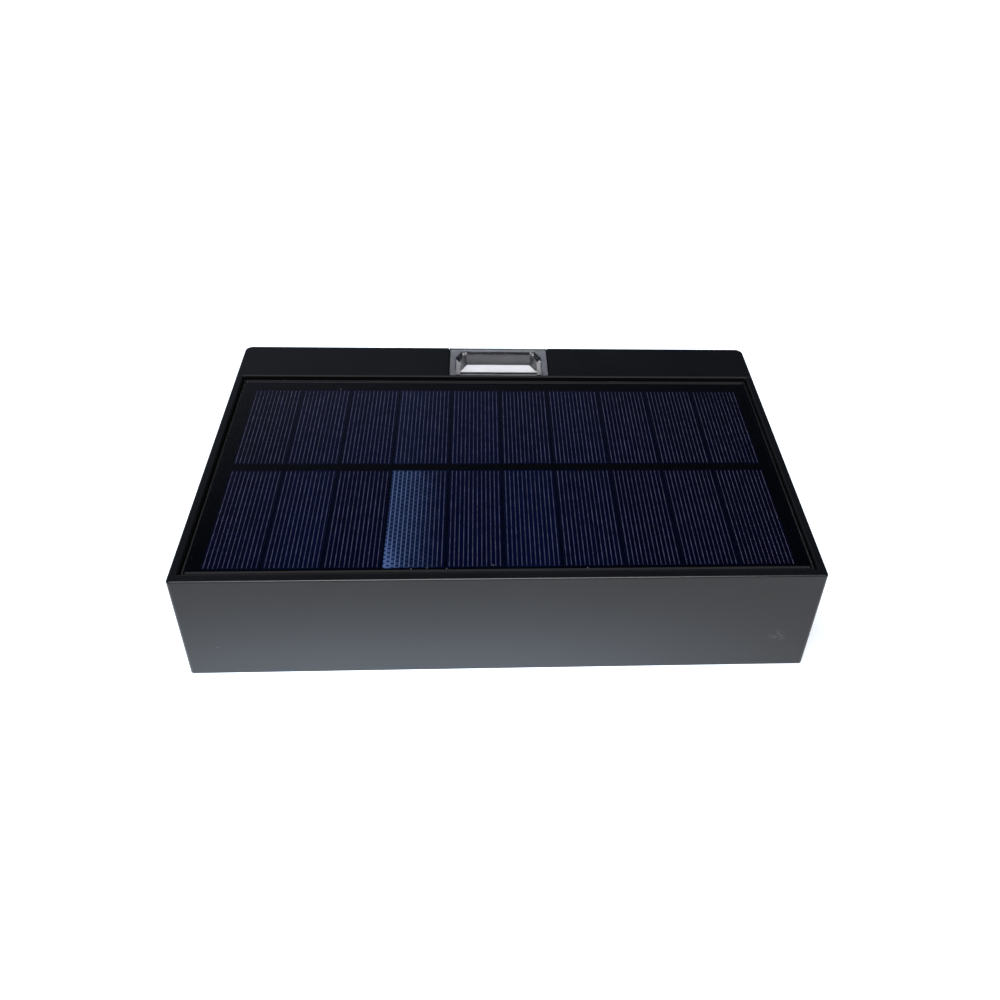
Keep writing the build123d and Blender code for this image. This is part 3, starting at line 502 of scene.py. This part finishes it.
# %% Panel board material
UNDER_FILM_IOR = 1.02  # wetted by the film, so hardly any gloss of its own
glue_tone = (0.0004, 0.0010, 0.0052, 1)
panel_black, tree, shader = new_material("panel_black", IOR=UNDER_FILM_IOR)
axes = object_axes(tree)
in_row = 0.0
for row_front, row_depth in rows.values():
    in_this_row = maths(tree, "COMPARE", axes["Y"], row_front + row_depth / 2, row_depth / 2)
    in_row = maths(tree, "ADD", in_this_row, in_row)
among_cells = maths(tree, "MULTIPLY", in_row, maths(tree, "COMPARE", axes["X"], 0.0, cells_high.x))
surface = use_group(
    tree,
    moulded,
    Tone=(0.0004, 0.0006, 0.0015, 1),
    Tone_Spread=0.8,
    Roughness=0.4,
    Roughness_Spread=0.2,
    Grain_Size=1.2 * MM,
    Grain_Depth=0.15,
)
board_tone = mix_colour(tree, among_cells, surface.outputs["Color"], glue_tone)
link_surface(tree, shader, surface, board_tone)
print("board finish nodes:", len(tree.nodes))

# %% [markdown]
# ### Painted sheen on one cell
# On the fourth cell of the front row a pale blue sheen is painted over the left part, with dark dots between
# the printed lines. It is a painted reflection: it stands in for light glancing off that cell, not for a
# colour of the cell. The cell behind it has a trace of the same. The lines over it are painted paler too, so
# the cells and the lines share one node group. It gives three masks: the painted sheen from the left edge,
# its brightest corner at the front left, and the dots.

# %% Group: painted sheen
SHEEN_CELL = 3
sheen_group, ins, outs = new_group(
    "painted_sheen",
    [("Left", "value", 0.0), ("Width", "value", 0.016), ("Front", "value", 0.0), ("Depth", "value", 0.04)],
    [("Sheen", "value"), ("Sheen Corner", "value"), ("Dots", "value")],
)
axes = object_axes(sheen_group)
from_left = maths(sheen_group, "SUBTRACT", axes["X"], ins.outputs["Left"])
from_front = maths(sheen_group, "SUBTRACT", axes["Y"], ins.outputs["Front"])
right_share = maths(sheen_group, "DIVIDE", from_left, ins.outputs["Width"])
back_share = maths(sheen_group, "DIVIDE", from_front, ins.outputs["Depth"])
sheen_place = {
    "Left": cell_starts[SHEEN_CELL],
    "Width": LINES[SHEEN_CELL] * line_pitch,
    "Front": rows["front"][0],
    "Depth": front_depth,
}
print("thin cell starts at x in mm:", round(sheen_place["Left"] / MM, 1))

# %% Painted sheen and its bright corner
sheen_behind = 0.08
mottle_scale = 260.0
mottle_amount = 0.6
corner_across = 3.0  # the corner takes a third of the width
corner_along = 2.2  # and nearly half of the depth
front_row = maths(sheen_group, "LESS_THAN", back_share, 1.0)
by_row = maths(sheen_group, "MULTIPLY_ADD", front_row, 1 - sheen_behind, sheen_behind)
here = maths(sheen_group, "MULTIPLY", maths(sheen_group, "COMPARE", right_share, 0.5, 0.5), by_row)
mottle = maths(sheen_group, "SUBTRACT", noise(sheen_group, object_place(sheen_group), mottle_scale, detail=3.0), 0.5)
ragged = maths(sheen_group, "MULTIPLY_ADD", mottle, mottle_amount, right_share)
sheen_fade = faded(sheen_group, ragged, 0.0, 1.0)
# The corner is the brightest part of the painted sheen, at the front left.
up_corner = maths(sheen_group, "MULTIPLY", back_share, corner_along)
from_corner = maths(sheen_group, "MULTIPLY_ADD", right_share, corner_across, up_corner)
corner = faded(sheen_group, from_corner, 0.0, 1.0)
sheen_group.links.new(maths(sheen_group, "MULTIPLY", here, sheen_fade), outs.inputs["Sheen"])
sheen_group.links.new(maths(sheen_group, "MULTIPLY", here, corner), outs.inputs["Sheen Corner"])
print("trace of it on the cell behind:", sheen_behind)

# %% Dots between the printed lines
dot_pitch = 1.6 * MM
dot_edge = (-0.1, 0.7)
across = maths(sheen_group, "COSINE", maths(sheen_group, "MULTIPLY", from_left, math.pi / line_pitch))
along = maths(sheen_group, "COSINE", maths(sheen_group, "MULTIPLY", from_front, 2 * math.pi / dot_pitch))
dots = stepped(sheen_group, maths(sheen_group, "MULTIPLY", across, along), *dot_edge)
sheen_group.links.new(maths(sheen_group, "MULTIPLY", here, dots), outs.inputs["Dots"])
print("group:", sheen_group.name, "nodes:", len(sheen_group.nodes))

# %% Which cell a point is on
silicon, tree, shader = new_material("silicon", IOR=UNDER_FILM_IOR)
axes = object_axes(tree)
column = 0.0
for start in cell_starts[1:]:
    passed = maths(tree, "GREATER_THAN", axes["X"], start - cell_gap / 2)
    column = maths(tree, "ADD", passed, column)
row = maths(tree, "GREATER_THAN", axes["Y"], rows["back"][0] - row_gap / 2)
number = tree.nodes.new("ShaderNodeCombineXYZ")
tree.links.new(column, number.inputs["X"])
tree.links.new(row, number.inputs["Y"])
shade = tree.nodes.new("ShaderNodeTexWhiteNoise")
shade.noise_dimensions = "2D"
tree.links.new(number.outputs[0], shade.inputs["Vector"])
print("cells with a shade of their own:", len(cell_starts) * len(rows))

# %% Navy, bluest near the middle of the panel and blacker at its ends
dark_navy = (0.0002, 0.0008, 0.0085, 1)
blue_navy = (0.0005, 0.0020, 0.0150, 1)
end_navy = (0.0003, 0.0005, 0.0052, 1)
bluest_x = -15 * MM
blue_reach = 15 * MM
black_reach = 95 * MM
plain_navy = mix_colour(tree, shade.outputs["Value"], dark_navy, blue_navy)
from_bluest = maths(tree, "ABSOLUTE", maths(tree, "SUBTRACT", axes["X"], bluest_x))
navy = mix_colour(tree, stepped(tree, from_bluest, blue_reach, black_reach), plain_navy, end_navy)
print("bluest at x in mm:", round(bluest_x / MM))

# %% Silicon with its painted sheen
# Pale blues of the painted sheen, a painted reflection on the fourth cell.
sheen_blue = (0.011, 0.024, 0.066, 1)
corner_sheen_blue = (0.055, 0.095, 0.24, 1)
dot_strength = 0.8
cloud_scale = 180.0
cloud_roughness = 0.2
least_roughness = 0.25
sheen = use_group(tree, sheen_group, **sheen_place)
sheened = mix_colour(tree, sheen.outputs["Sheen"], navy, sheen_blue)
sheened = mix_colour(tree, sheen.outputs["Sheen Corner"], sheened, corner_sheen_blue)
dotted = mix_colour(tree, maths(tree, "MULTIPLY", sheen.outputs["Dots"], dot_strength), sheened, navy)
tree.links.new(dotted, shader.inputs["Base Color"])
cloud = noise(tree, object_place(tree), cloud_scale, detail=3.0)
cell_roughness = maths(tree, "MULTIPLY_ADD", cloud, cloud_roughness, least_roughness)
tree.links.new(cell_roughness, shader.inputs["Roughness"])
print("silicon nodes:", len(tree.nodes))

# %% [markdown]
# ### LEDs
# Each LED is a white package with a round well, filled with yellow phosphor. The yellow is a disc round the
# LED's own middle, so the two LEDs each have a material.

# %% LED material
WELL_RADIUS = 1.1 * MM
PHOSPHOR_TONE = (0.85, 0.62, 0.05, 1)


def led_material(node_name):
    """White package, yellow within the well."""
    material, tree, shader = new_material(node_name + "_finish", IOR=1.5)
    low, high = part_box(node_name)
    middle = (low + high) / 2
    axes = object_axes(tree)
    off_x = maths(tree, "SUBTRACT", axes["X"], middle.x)
    off_y = maths(tree, "SUBTRACT", axes["Y"], middle.y)
    squares = maths(tree, "ADD", maths(tree, "POWER", off_x, 2.0), maths(tree, "POWER", off_y, 2.0))
    outside = maths(tree, "GREATER_THAN", maths(tree, "SQRT", squares), WELL_RADIUS)
    surface = use_group(
        tree,
        moulded,
        Tone=(0.85, 0.85, 0.82, 1),
        Tone_Spread=0.1,
        Roughness=0.35,
        Roughness_Spread=0.1,
        Grain_Size=0.2 * MM,
        Grain_Depth=0.1,
    )
    colour = mix_colour(tree, outside, PHOSPHOR_TONE, surface.outputs["Color"])
    link_surface(tree, shader, surface, colour)
    return material


upper_led_finish = led_material("upper_led")
lower_led_finish = led_material("lower_led")
print("LED finishes:", upper_led_finish.name, lower_led_finish.name)

# %% [markdown]
# ## Dress the CAD nodes
# A node keeps its shape. Only the material in its slots changes.

# %% Assign materials to nodes
finishes = {
    black_plastic: ["housing"],
    cover_plastic: ["base_cover"],
    cup_plastic: ["keyhole_cups"],
    silicone: ["base_seal", "button_ring"],
    steel: ["cover_screws", "board_screws", "holder_screws", "upper_led_screws", "lower_led_screws"],
    clear_film: ["panel_film"],
    silicon: ["solar_cells"],
    panel_black: ["panel_board"],
    foam_tape: ["panel_tape"],
    clear_plastic: ["upper_lens", "lower_lens"],
    white_plastic: ["upper_reflector", "lower_reflector"],
    upper_led_finish: ["upper_led"],
    lower_led_finish: ["lower_led"],
    white_board: ["upper_led_board", "lower_led_board"],
    red_wire: ["battery_leads", "panel_leads"],
    white_wire: ["upper_led_leads", "lower_led_leads"],
    cell_wrap: ["battery_cell"],
    holder_plastic: ["battery_holder"],
    nickel: ["battery_contacts"],
    green_board: ["control_board"],
    black_epoxy: ["charge_chip"],
    ferrite: ["inductor"],
    can_aluminium: ["capacitors"],
    switch_plastic: ["switch_body", "switch_plunger"],
    button_plastic: ["push_button"],
}
for material, names in finishes.items():
    for name in names:
        node = nodes[name]
        if not node.material_slots:
            node.data.materials.append(material)
        for slot in node.material_slots:
            slot.material = material
print("dressed:", sum(len(names) for names in finishes.values()), "of", len(nodes))

# %% [markdown]
# ## Modelling helpers
# Every operator in Blender acts on what is selected. After loading, all the CAD nodes are selected, so each
# step starts by deselecting everything. In edit mode these helpers select by place, as a hand would with a
# box select. A finished piece has its place in its mesh and its object at the origin, as a CAD node has, so
# that its pattern stays put.


# %% Selecting
def deselect_all():
    """Leave nothing selected, in object mode."""
    if bpy.context.object and bpy.context.object.mode != "OBJECT":
        bpy.ops.object.mode_set(mode="OBJECT")
    for thing in bpy.context.selected_objects:
        thing.select_set(False)


def pick(piece):
    """Make one piece the only selected and the active one."""
    deselect_all()
    piece.select_set(True)
    bpy.context.view_layer.objects.active = piece


def edit_where(piece, kind, test):
    """Enter edit mode with only the faces, edges or vertices selected whose middle passes the test."""
    pick(piece)
    mesh = piece.data
    bpy.ops.object.mode_set(mode="EDIT")
    bpy.ops.mesh.select_mode(type={"faces": "FACE", "edges": "EDGE", "vertices": "VERT"}[kind])
    bpy.ops.mesh.select_all(action="DESELECT")
    bpy.ops.object.mode_set(mode="OBJECT")
    for part in getattr(mesh, "polygons" if kind == "faces" else kind):
        if kind == "faces":
            middle = part.center
        elif kind == "edges":
            middle = (mesh.vertices[part.vertices[0]].co + mesh.vertices[part.vertices[1]].co) / 2
        else:
            middle = part.co
        part.select = test(middle)
    bpy.ops.object.mode_set(mode="EDIT")


def leave_edit():
    """Back to object mode."""
    bpy.ops.object.mode_set(mode="OBJECT")


print("selected after loading:", len(bpy.context.selected_objects))


# %% Making and shaping
def settle(piece):
    """Put a piece's place into its mesh, so that its object sits at the origin, unturned and unscaled."""
    pick(piece)
    bpy.ops.object.transform_apply(location=True, rotation=True, scale=True)


def add_box(low, high):
    """A box between two corners, modelled from the cube primitive."""
    deselect_all()
    bpy.ops.mesh.primitive_cube_add(size=1, location=(Vector(low) + Vector(high)) / 2)
    box = bpy.context.object
    box.scale = Vector(high) - Vector(low)
    settle(box)
    return box


def soften_top(piece, width):
    """Round the edges round the top of a piece."""
    top = max(vertex.co.z for vertex in piece.data.vertices)
    edit_where(piece, "edges", lambda middle: middle.z > top - width / 10)
    bpy.ops.mesh.bevel(offset=width, segments=2, profile=0.5)
    leave_edit()


def join_pieces(pieces):
    """Join several pieces into the first of them."""
    deselect_all()
    for piece in pieces:
        piece.select_set(True)
    bpy.context.view_layer.objects.active = pieces[0]
    bpy.ops.object.join()
    return pieces[0]


def apply_modifier(piece, kind, **settings):
    """Add one modifier, set it and apply it."""
    pick(piece)
    modifier = piece.modifiers.new(kind.lower(), kind)
    for key, value in settings.items():
        setattr(modifier, key, value)
    bpy.ops.object.modifier_apply(modifier=modifier.name)


# %% Finishing
BODY = "light"  # every piece that is added here rides on the light itself


def finish_piece(piece, name, material):
    """Name a piece, give it its finish and let it ride on the light."""
    settle(piece)
    piece.name = name
    piece.data.name = name
    piece.data.materials.clear()
    piece.data.materials.append(material)
    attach(piece, BODY)
    print(name, "faces:", len(piece.data.polygons))


# %% [markdown]
# ## Printed lines on the cells
# Thin printed silver lines run from front to back over each cell and gather its current. They are the
# pattern that the eye sees first. A texture could draw them, but they are real relief and catch the light
# along their sides. The first line of each cell is modelled, an Array modifier repeats it over the cell,
# and in the end the lines of all cells are joined.

# %% Printed silver, paler in places where more paste was left
thin_paste = (0.017, 0.0172, 0.032, 1)
thick_paste = (0.047, 0.0475, 0.084, 1)
sheened_paste = (0.066, 0.09, 0.18, 1)
paste_scale = 420.0
paste_edge = (0.3, 0.75)
paste_roughness = 0.3
least_roughness = 0.35
silver, tree, shader = new_material("printed_silver", IOR=UNDER_FILM_IOR)
paste = noise(tree, object_place(tree), paste_scale, detail=3.0, rough=0.7)
silver_tone = mix_colour(tree, stepped(tree, paste, *paste_edge), thin_paste, thick_paste)
sheen = use_group(tree, sheen_group, **sheen_place)
# Painted sheen: the lines are painted paler where the sheen lies on the fourth cell.
silver_tone = mix_colour(tree, sheen.outputs["Sheen"], silver_tone, sheened_paste)
tree.links.new(silver_tone, shader.inputs["Base Color"])
silver_roughness = maths(tree, "MULTIPLY_ADD", paste, paste_roughness, least_roughness)
tree.links.new(silver_roughness, shader.inputs["Roughness"])
print("silver nodes:", len(tree.nodes))

# %% Model the first line of each cell and repeat it
line_width = 0.26 * MM
line_rise = 0.02 * MM
line_end = 0.35 * MM
line_pieces = []
for row_front, row_depth in rows.values():
    for start, count in zip(cell_starts, LINES):
        line_x = start + line_pitch / 2
        line = add_box(
            (line_x - line_width / 2, row_front + line_end, cells_high.z),
            (line_x + line_width / 2, row_front + row_depth - line_end, cells_high.z + line_rise),
        )
        soften_top(line, line_rise / 2)
        apply_modifier(
            line,
            "ARRAY",
            count=count,
            use_relative_offset=False,
            use_constant_offset=True,
            constant_offset_displace=(line_pitch, 0, 0),
        )
        line_pieces.append(line)
finish_piece(join_pieces(line_pieces), "cell_lines", silver)

# %% [markdown]
# ## Clear film over the panel
# The cells are potted under a clear sheet with rounded edges. In the CAD model the sheet has a pocket for
# each cell, whose walls touch the cells. Rendered glass that touches what it covers shows specks, so this
# sheet closes over the cells instead, and it reaches a hair into the board. Its edge is rolled: the top is
# inset, the ring outside the inset goes down a little, and both bends are bevelled.

# %% Film
film_sink = 0.05 * MM
roll_width = 0.6 * MM
roll_depth = 0.12 * MM
edge_bevel = 0.1 * MM
smooth_angle = math.radians(35)
top_z = film_high.z - film_sink
rim_z = film_high.z - roll_depth


def on_top(middle):
    """Is this part of the film's top?"""
    return middle.z > top_z


def on_outer_ring(corner):
    """Is this one of the four corners of the film's top, outside the inset?"""
    return on_top(corner) and not film_low.x + film_sink < corner.x < film_high.x - film_sink


film = add_box((film_low.x, film_low.y, film_low.z - film_sink), film_high)
edit_where(film, "faces", on_top)
bpy.ops.mesh.inset(thickness=roll_width)
leave_edit()
edit_where(film, "vertices", on_outer_ring)
bpy.ops.transform.translate(value=(0, 0, -roll_depth))
leave_edit()
edit_where(film, "edges", on_top)
bpy.ops.mesh.bevel(offset=roll_width / 2, segments=3, profile=0.5)
leave_edit()
edit_where(film, "edges", lambda middle: abs(middle.z - rim_z) < film_sink / 2)
bpy.ops.mesh.bevel(offset=edge_bevel, segments=3, profile=0.5)
leave_edit()
bpy.ops.object.shade_smooth_by_angle(angle=smooth_angle)
finish_piece(film, "clear_panel_film", clear_film)
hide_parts("panel_film")

# %% [markdown]
# ### Painted shade in the groove behind the film
# The deep, narrow groove behind the film lies in shade. A thin matt black skin on the rear wall of the
# recess paints that shade, so that wall is the blackest line of the whole top.

# %% Groove painted shade
# Black painted shade, used here on the rear wall and for the sealant strips beside the lens.
sealant_and_shade = plastic("black_sealant_and_shade", (0.0012, 0.0012, 0.0015), 0.6, 0.8, 0.3, IOR=1.2)
recess_rear = 37.3 * MM
wall_skin = 0.08 * MM
from_wall = 0.02 * MM
shade_skin_top = 35.75 * MM
groove_shade_skin = add_box(
    (film_low.x, recess_rear - wall_skin, film_low.z), (film_high.x, recess_rear - from_wall, shade_skin_top)
)
soften_top(groove_shade_skin, wall_skin / 4)
finish_piece(groove_shade_skin, "groove_painted_shade", sealant_and_shade)

# %% [markdown]
# ### Painted highlights along the film's edge
# A thin matt grey strip lies just inside the front and the rear edge of the film, and shows as a soft grey
# line beside the black groove. It is a painted highlight: it stands in for the light caught on the film's
# raised edge.

# %% Painted edge highlights
# Painted highlight: grey strips that stand in for light on the film's raised edge.
glint_finish = plastic("painted_edge_glint", (0.0125, 0.0127, 0.0155), 0.6, 0.7, 0.8)
glint_rise = 0.03 * MM
glint_end = 1.0 * MM
front_glint = (film_low.y + 1.0 * MM, film_low.y + 1.7 * MM)
rear_glint = (film_high.y - 1.6 * MM, film_high.y - 0.5 * MM)
glint_strips = []
for glint_front, glint_rear in (front_glint, rear_glint):
    glint_strip = add_box(
        (film_low.x + glint_end, glint_front, film_high.z - glint_rise),
        (film_high.x - glint_end, glint_rear, film_high.z + glint_rise),
    )
    soften_top(glint_strip, glint_rise)
    glint_strips.append(glint_strip)
finish_piece(join_pieces(glint_strips), "film_painted_edge_glint", glint_finish)

# %% [markdown]
# ### Specks and painted glints on the film
# A few crumbs of solder and dust lie on the film, most of them along its front edge. The two near the rear
# are
# painted highlights: pale crumbs that stand in for glints on the film's rounded rear-left corner and on a
# small bubble. They are small, but the eye finds them at once on a dark panel. Each is a low rounded crumb,
# about a third of a millimetre across.

# %% Specks and painted glints
speck_and_glint_finish = plastic("speck_dust_and_glint", (0.16, 0.16, 0.16), 0.8, 0.2, 0.5)
speck_size = 0.3 * MM
speck_shape = (1.0, 1.3, 0.5)
SPECKS_MM = [
    (-24.5, -49.8),
    (-20.3, -49.5),
    (-15.2, -49.8),
    (-3.0, -48.7),
    (22.1, -50.0),
    # Painted glints: the film's rear-left corner and a small bubble.
    (-82.2, 35.4),
    (-51.6, 31.6),
]
specks = []
for x, y in SPECKS_MM:
    deselect_all()
    bpy.ops.mesh.primitive_ico_sphere_add(
        subdivisions=2, radius=speck_size / 2, location=(x * MM, y * MM, film_high.z)
    )
    crumb = bpy.context.object
    crumb.scale = speck_shape
    settle(crumb)
    specks.append(crumb)
finish_piece(join_pieces(specks), "film_specks_and_glints", speck_and_glint_finish)

# %% [markdown]
# ## Glue under the lenses
# A bead of translucent glue holds each clear lens on its seat, and shows through it as a pale border. The
# lens's own underside has the shape of that bead, so it is copied, cut free and given a thickness.

# %% Glue beads
glue = plastic("lens_glue", (0.115, 0.12, 0.135), 0.4, 2.2, 0.6)
merge_reach = 0.001 * MM
bead_room = 0.3 * MM
glue_thickness = 0.06 * MM
lens_thickness = 2.0 * MM
seat_tolerance = 0.01 * MM
edge_room = 0.1 * MM


def add_glue(lens_name, reflector_name, name, seat_z):
    """Copy the seat faces of a lens, outside its skirt, and thicken them into the lens."""
    pick(nodes[lens_name])
    bpy.ops.object.duplicate()
    bead = bpy.context.object
    bead.parent = None
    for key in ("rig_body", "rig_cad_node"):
        del bead[key]
    edit_where(bead, "faces", lambda middle: True)
    bpy.ops.mesh.remove_doubles(threshold=merge_reach)
    leave_edit()
    mouth_low, mouth_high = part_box(reflector_name)

    def off_seat(middle):
        on_seat = abs(middle.z - seat_z) < seat_tolerance
        across = abs(middle.x) < mouth_high.x + edge_room
        along = mouth_low.y - edge_room < middle.y < mouth_high.y + edge_room
        return not on_seat or (across and along)

    edit_where(bead, "faces", off_seat)
    bpy.ops.mesh.delete(type="FACE")
    bpy.ops.mesh.select_all(action="SELECT")
    bpy.ops.mesh.inset(thickness=bead_room)
    bpy.ops.mesh.select_all(action="INVERT")
    bpy.ops.mesh.delete(type="FACE")
    leave_edit()
    apply_modifier(bead, "SOLIDIFY", thickness=glue_thickness, offset=0.0)
    finish_piece(bead, name, glue)


add_glue("upper_lens", "upper_reflector", "upper_lens_glue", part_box("upper_lens")[1].z - lens_thickness)
add_glue("lower_lens", "lower_reflector", "lower_lens_glue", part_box("lower_lens")[0].z + lens_thickness)

# %% [markdown]
# ### Sealant and painted shade beside the upper lens
# The seat is a little wider than the lens, and open to the back. Black strips fill that gap on both sides,
# so nothing shows through it. Their black is painted shade: from above it is the dark line of the narrow
# shaded gap between the clear plate and the strip. The lens is rounded at the back, so the strip goes on
# behind it as a lower tail.

# %% Sealant strips with painted shade
lens_low, lens_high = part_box("upper_lens")
seat_gap = 0.2 * MM
skin = 0.01 * MM
below_top = 0.15 * MM
back_room = 0.9 * MM
seal_bottom = lens_high.z - lens_thickness + skin
strip_rear = lens_high.y - back_room
# Painted shade: black strips that give the dark line of the narrow gap beside the lens.
for label, side in (("left", -1), ("right", 1)):
    near, far = sorted((side * (lens_high.x + skin), side * (lens_high.x + seat_gap - skin)))
    strip = add_box((near, lens_low.y + skin, seal_bottom), (far, strip_rear, lens_high.z - below_top))
    soften_top(strip, seat_gap / 5)
    finish_piece(strip, f"lens_seal_{label}", sealant_and_shade)
    tail = add_box((near, strip_rear, seal_bottom), (far, lens_high.y - below_top, lens_high.z - back_room))
    soften_top(tail, seat_gap / 5)
    finish_piece(tail, f"lens_seal_tail_{label}", sealant_and_shade)

# %% [markdown]
# ## Floor and light
# The floor is plain and nearly white. It glows a little, as a lit paper sweep does, so it stays pale where
# the box shades it. The front face of the box mirrors the paper just before it, so the glow is strongest
# there, left of the middle: the paper stays white, and the black face gets its grey and its slow change of
# tone. The paper beside and behind the box glows too, and so does the paper far to the sides. From below the
# paper is clear, so that the cover and its button can be looked at.

# %% Floor
floor_size = 8.0
floor_drop = 0.02 * MM
fibre_scale = 30.0
deselect_all()
bpy.ops.mesh.primitive_plane_add(size=floor_size, location=(0, 0, -floor_drop))
floor = bpy.context.object
floor.name = "floor"
paper, tree, shader = new_material("paper", Roughness=0.9, Emission_Strength=1.0)
fibres = noise(tree, object_place(tree), fibre_scale, detail=3.0)
paper_tone = mix_colour(tree, fibres, (0.78, 0.785, 0.80, 1), (0.82, 0.825, 0.84, 1))
tree.links.new(paper_tone, shader.inputs["Base Color"])
floor.data.materials.append(paper)
print("floor in m:", floor_size)

# %% Where the paper glows
front_y = cad_box[0].y
mirrored_depth = 34 * MM
past_depth = 60 * MM
beside_glow = 0.7
brightest_x = -25 * MM
central_reach = (20 * MM, 140 * MM)
outer_glow = 0.1
outer_reach = (110 * MM, 150 * MM)
dim_glow = (0.19, 0.205, 0.23, 1)
full_glow = (1.06, 1.28, 1.54, 1)
axes = object_axes(tree)
near_front = stepped(tree, axes["Y"], front_y - mirrored_depth, front_y)
aside = maths(tree, "ABSOLUTE", maths(tree, "SUBTRACT", axes["X"], brightest_x))
before = maths(tree, "MULTIPLY", near_front, faded(tree, aside, *central_reach))
beside = maths(tree, "MULTIPLY", stepped(tree, axes["Y"], front_y, front_y + past_depth), beside_glow)
outer = maths(tree, "MULTIPLY", stepped(tree, aside, *outer_reach), outer_glow)
glow = maths(tree, "MAXIMUM", maths(tree, "MAXIMUM", beside, outer), before)
tree.links.new(mix_colour(tree, glow, dim_glow, full_glow), shader.inputs["Emission Color"])
print("paper nodes:", len(tree.nodes))

# %% Paper that is clear from below
# The renderer would also aim at the glowing paper as at a lamp, and then the line between its two triangles
# shows faintly on smooth plastic. With its emission sampling off, the glow is only found by bounced light.
see_through = tree.nodes.new("ShaderNodeBsdfTransparent")
one_sided = tree.nodes.new("ShaderNodeMixShader")
tree.links.new(tree.nodes.new("ShaderNodeNewGeometry").outputs["Backfacing"], one_sided.inputs["Fac"])
tree.links.new(shader.outputs["BSDF"], one_sided.inputs[1])
tree.links.new(see_through.outputs["BSDF"], one_sided.inputs[2])
tree.links.new(one_sided.outputs["Shader"], tree.nodes["Material Output"].inputs["Surface"])
paper.cycles.emission_sampling = "NONE"
print("paper is one-sided")

# %% [markdown]
# ### Studio
# The studio round the box is dim, so that black plastic stays black. It is a little brighter low down at the
# back left, and the glossy film and the strip mirror that: they shine most at the rear left corner. The
# camera itself sees a plain pale wall.

# %% Studio walls
dim_wall = (0.010, 0.012, 0.015, 1)
bright_wall = (0.24, 0.26, 0.31, 1)
pale_wall = (0.72, 0.73, 0.75, 1)
low_edge = (0.35, 0.75)
left_edge = (-0.5, 0.5)
rear_edge = (0.0, 0.6)
world = bpy.data.worlds.new("studio")
bpy.context.scene.world = world
world.use_nodes = True
walls = world.node_tree
way = walls.nodes.new("ShaderNodeSeparateXYZ")
walls.links.new(walls.nodes.new("ShaderNodeTexCoord").outputs["Generated"], way.inputs[0])
low_down = faded(walls, way.outputs["Z"], *low_edge)
leftward = faded(walls, way.outputs["X"], *left_edge)
behind = stepped(walls, way.outputs["Y"], *rear_edge)
lit = maths(walls, "MULTIPLY", behind, maths(walls, "MULTIPLY", low_down, leftward))
wall_light = mix_colour(walls, lit, dim_wall, bright_wall)
seen = walls.nodes.new("ShaderNodeLightPath").outputs["Is Camera Ray"]
wall_tone = mix_colour(walls, seen, wall_light, pale_wall)
walls.links.new(wall_tone, walls.nodes["Background"].inputs["Color"])
print("wall nodes:", len(walls.nodes))

# %% [markdown]
# ### Softboxes
# A large lamp above the front lights the top and the paper, and a weak one lower down at the front left
# lifts the front face. Both are large, so their shadows are soft.


# %% Softboxes
AIM = Vector((0, 0, 0.02))


def add_softbox(name, place, width, height, power):
    """A rectangular lamp that faces the middle of the light."""
    data = bpy.data.lights.new(name, "AREA")
    data.shape = "RECTANGLE"
    data.size, data.size_y = width, height
    data.energy = power
    lamp = bpy.data.objects.new(name, data)
    bpy.context.scene.collection.objects.link(lamp)
    lamp.location = place
    lamp.rotation_euler = (AIM - Vector(place)).to_track_quat("-Z", "Y").to_euler()


add_softbox("front_softbox", place=(-0.25, -1.3, 0.6), width=1.2, height=0.5, power=2.0)
add_softbox("overhead_softbox", place=(-0.05, -0.75, 1.4), width=1.0, height=1.0, power=29.0)
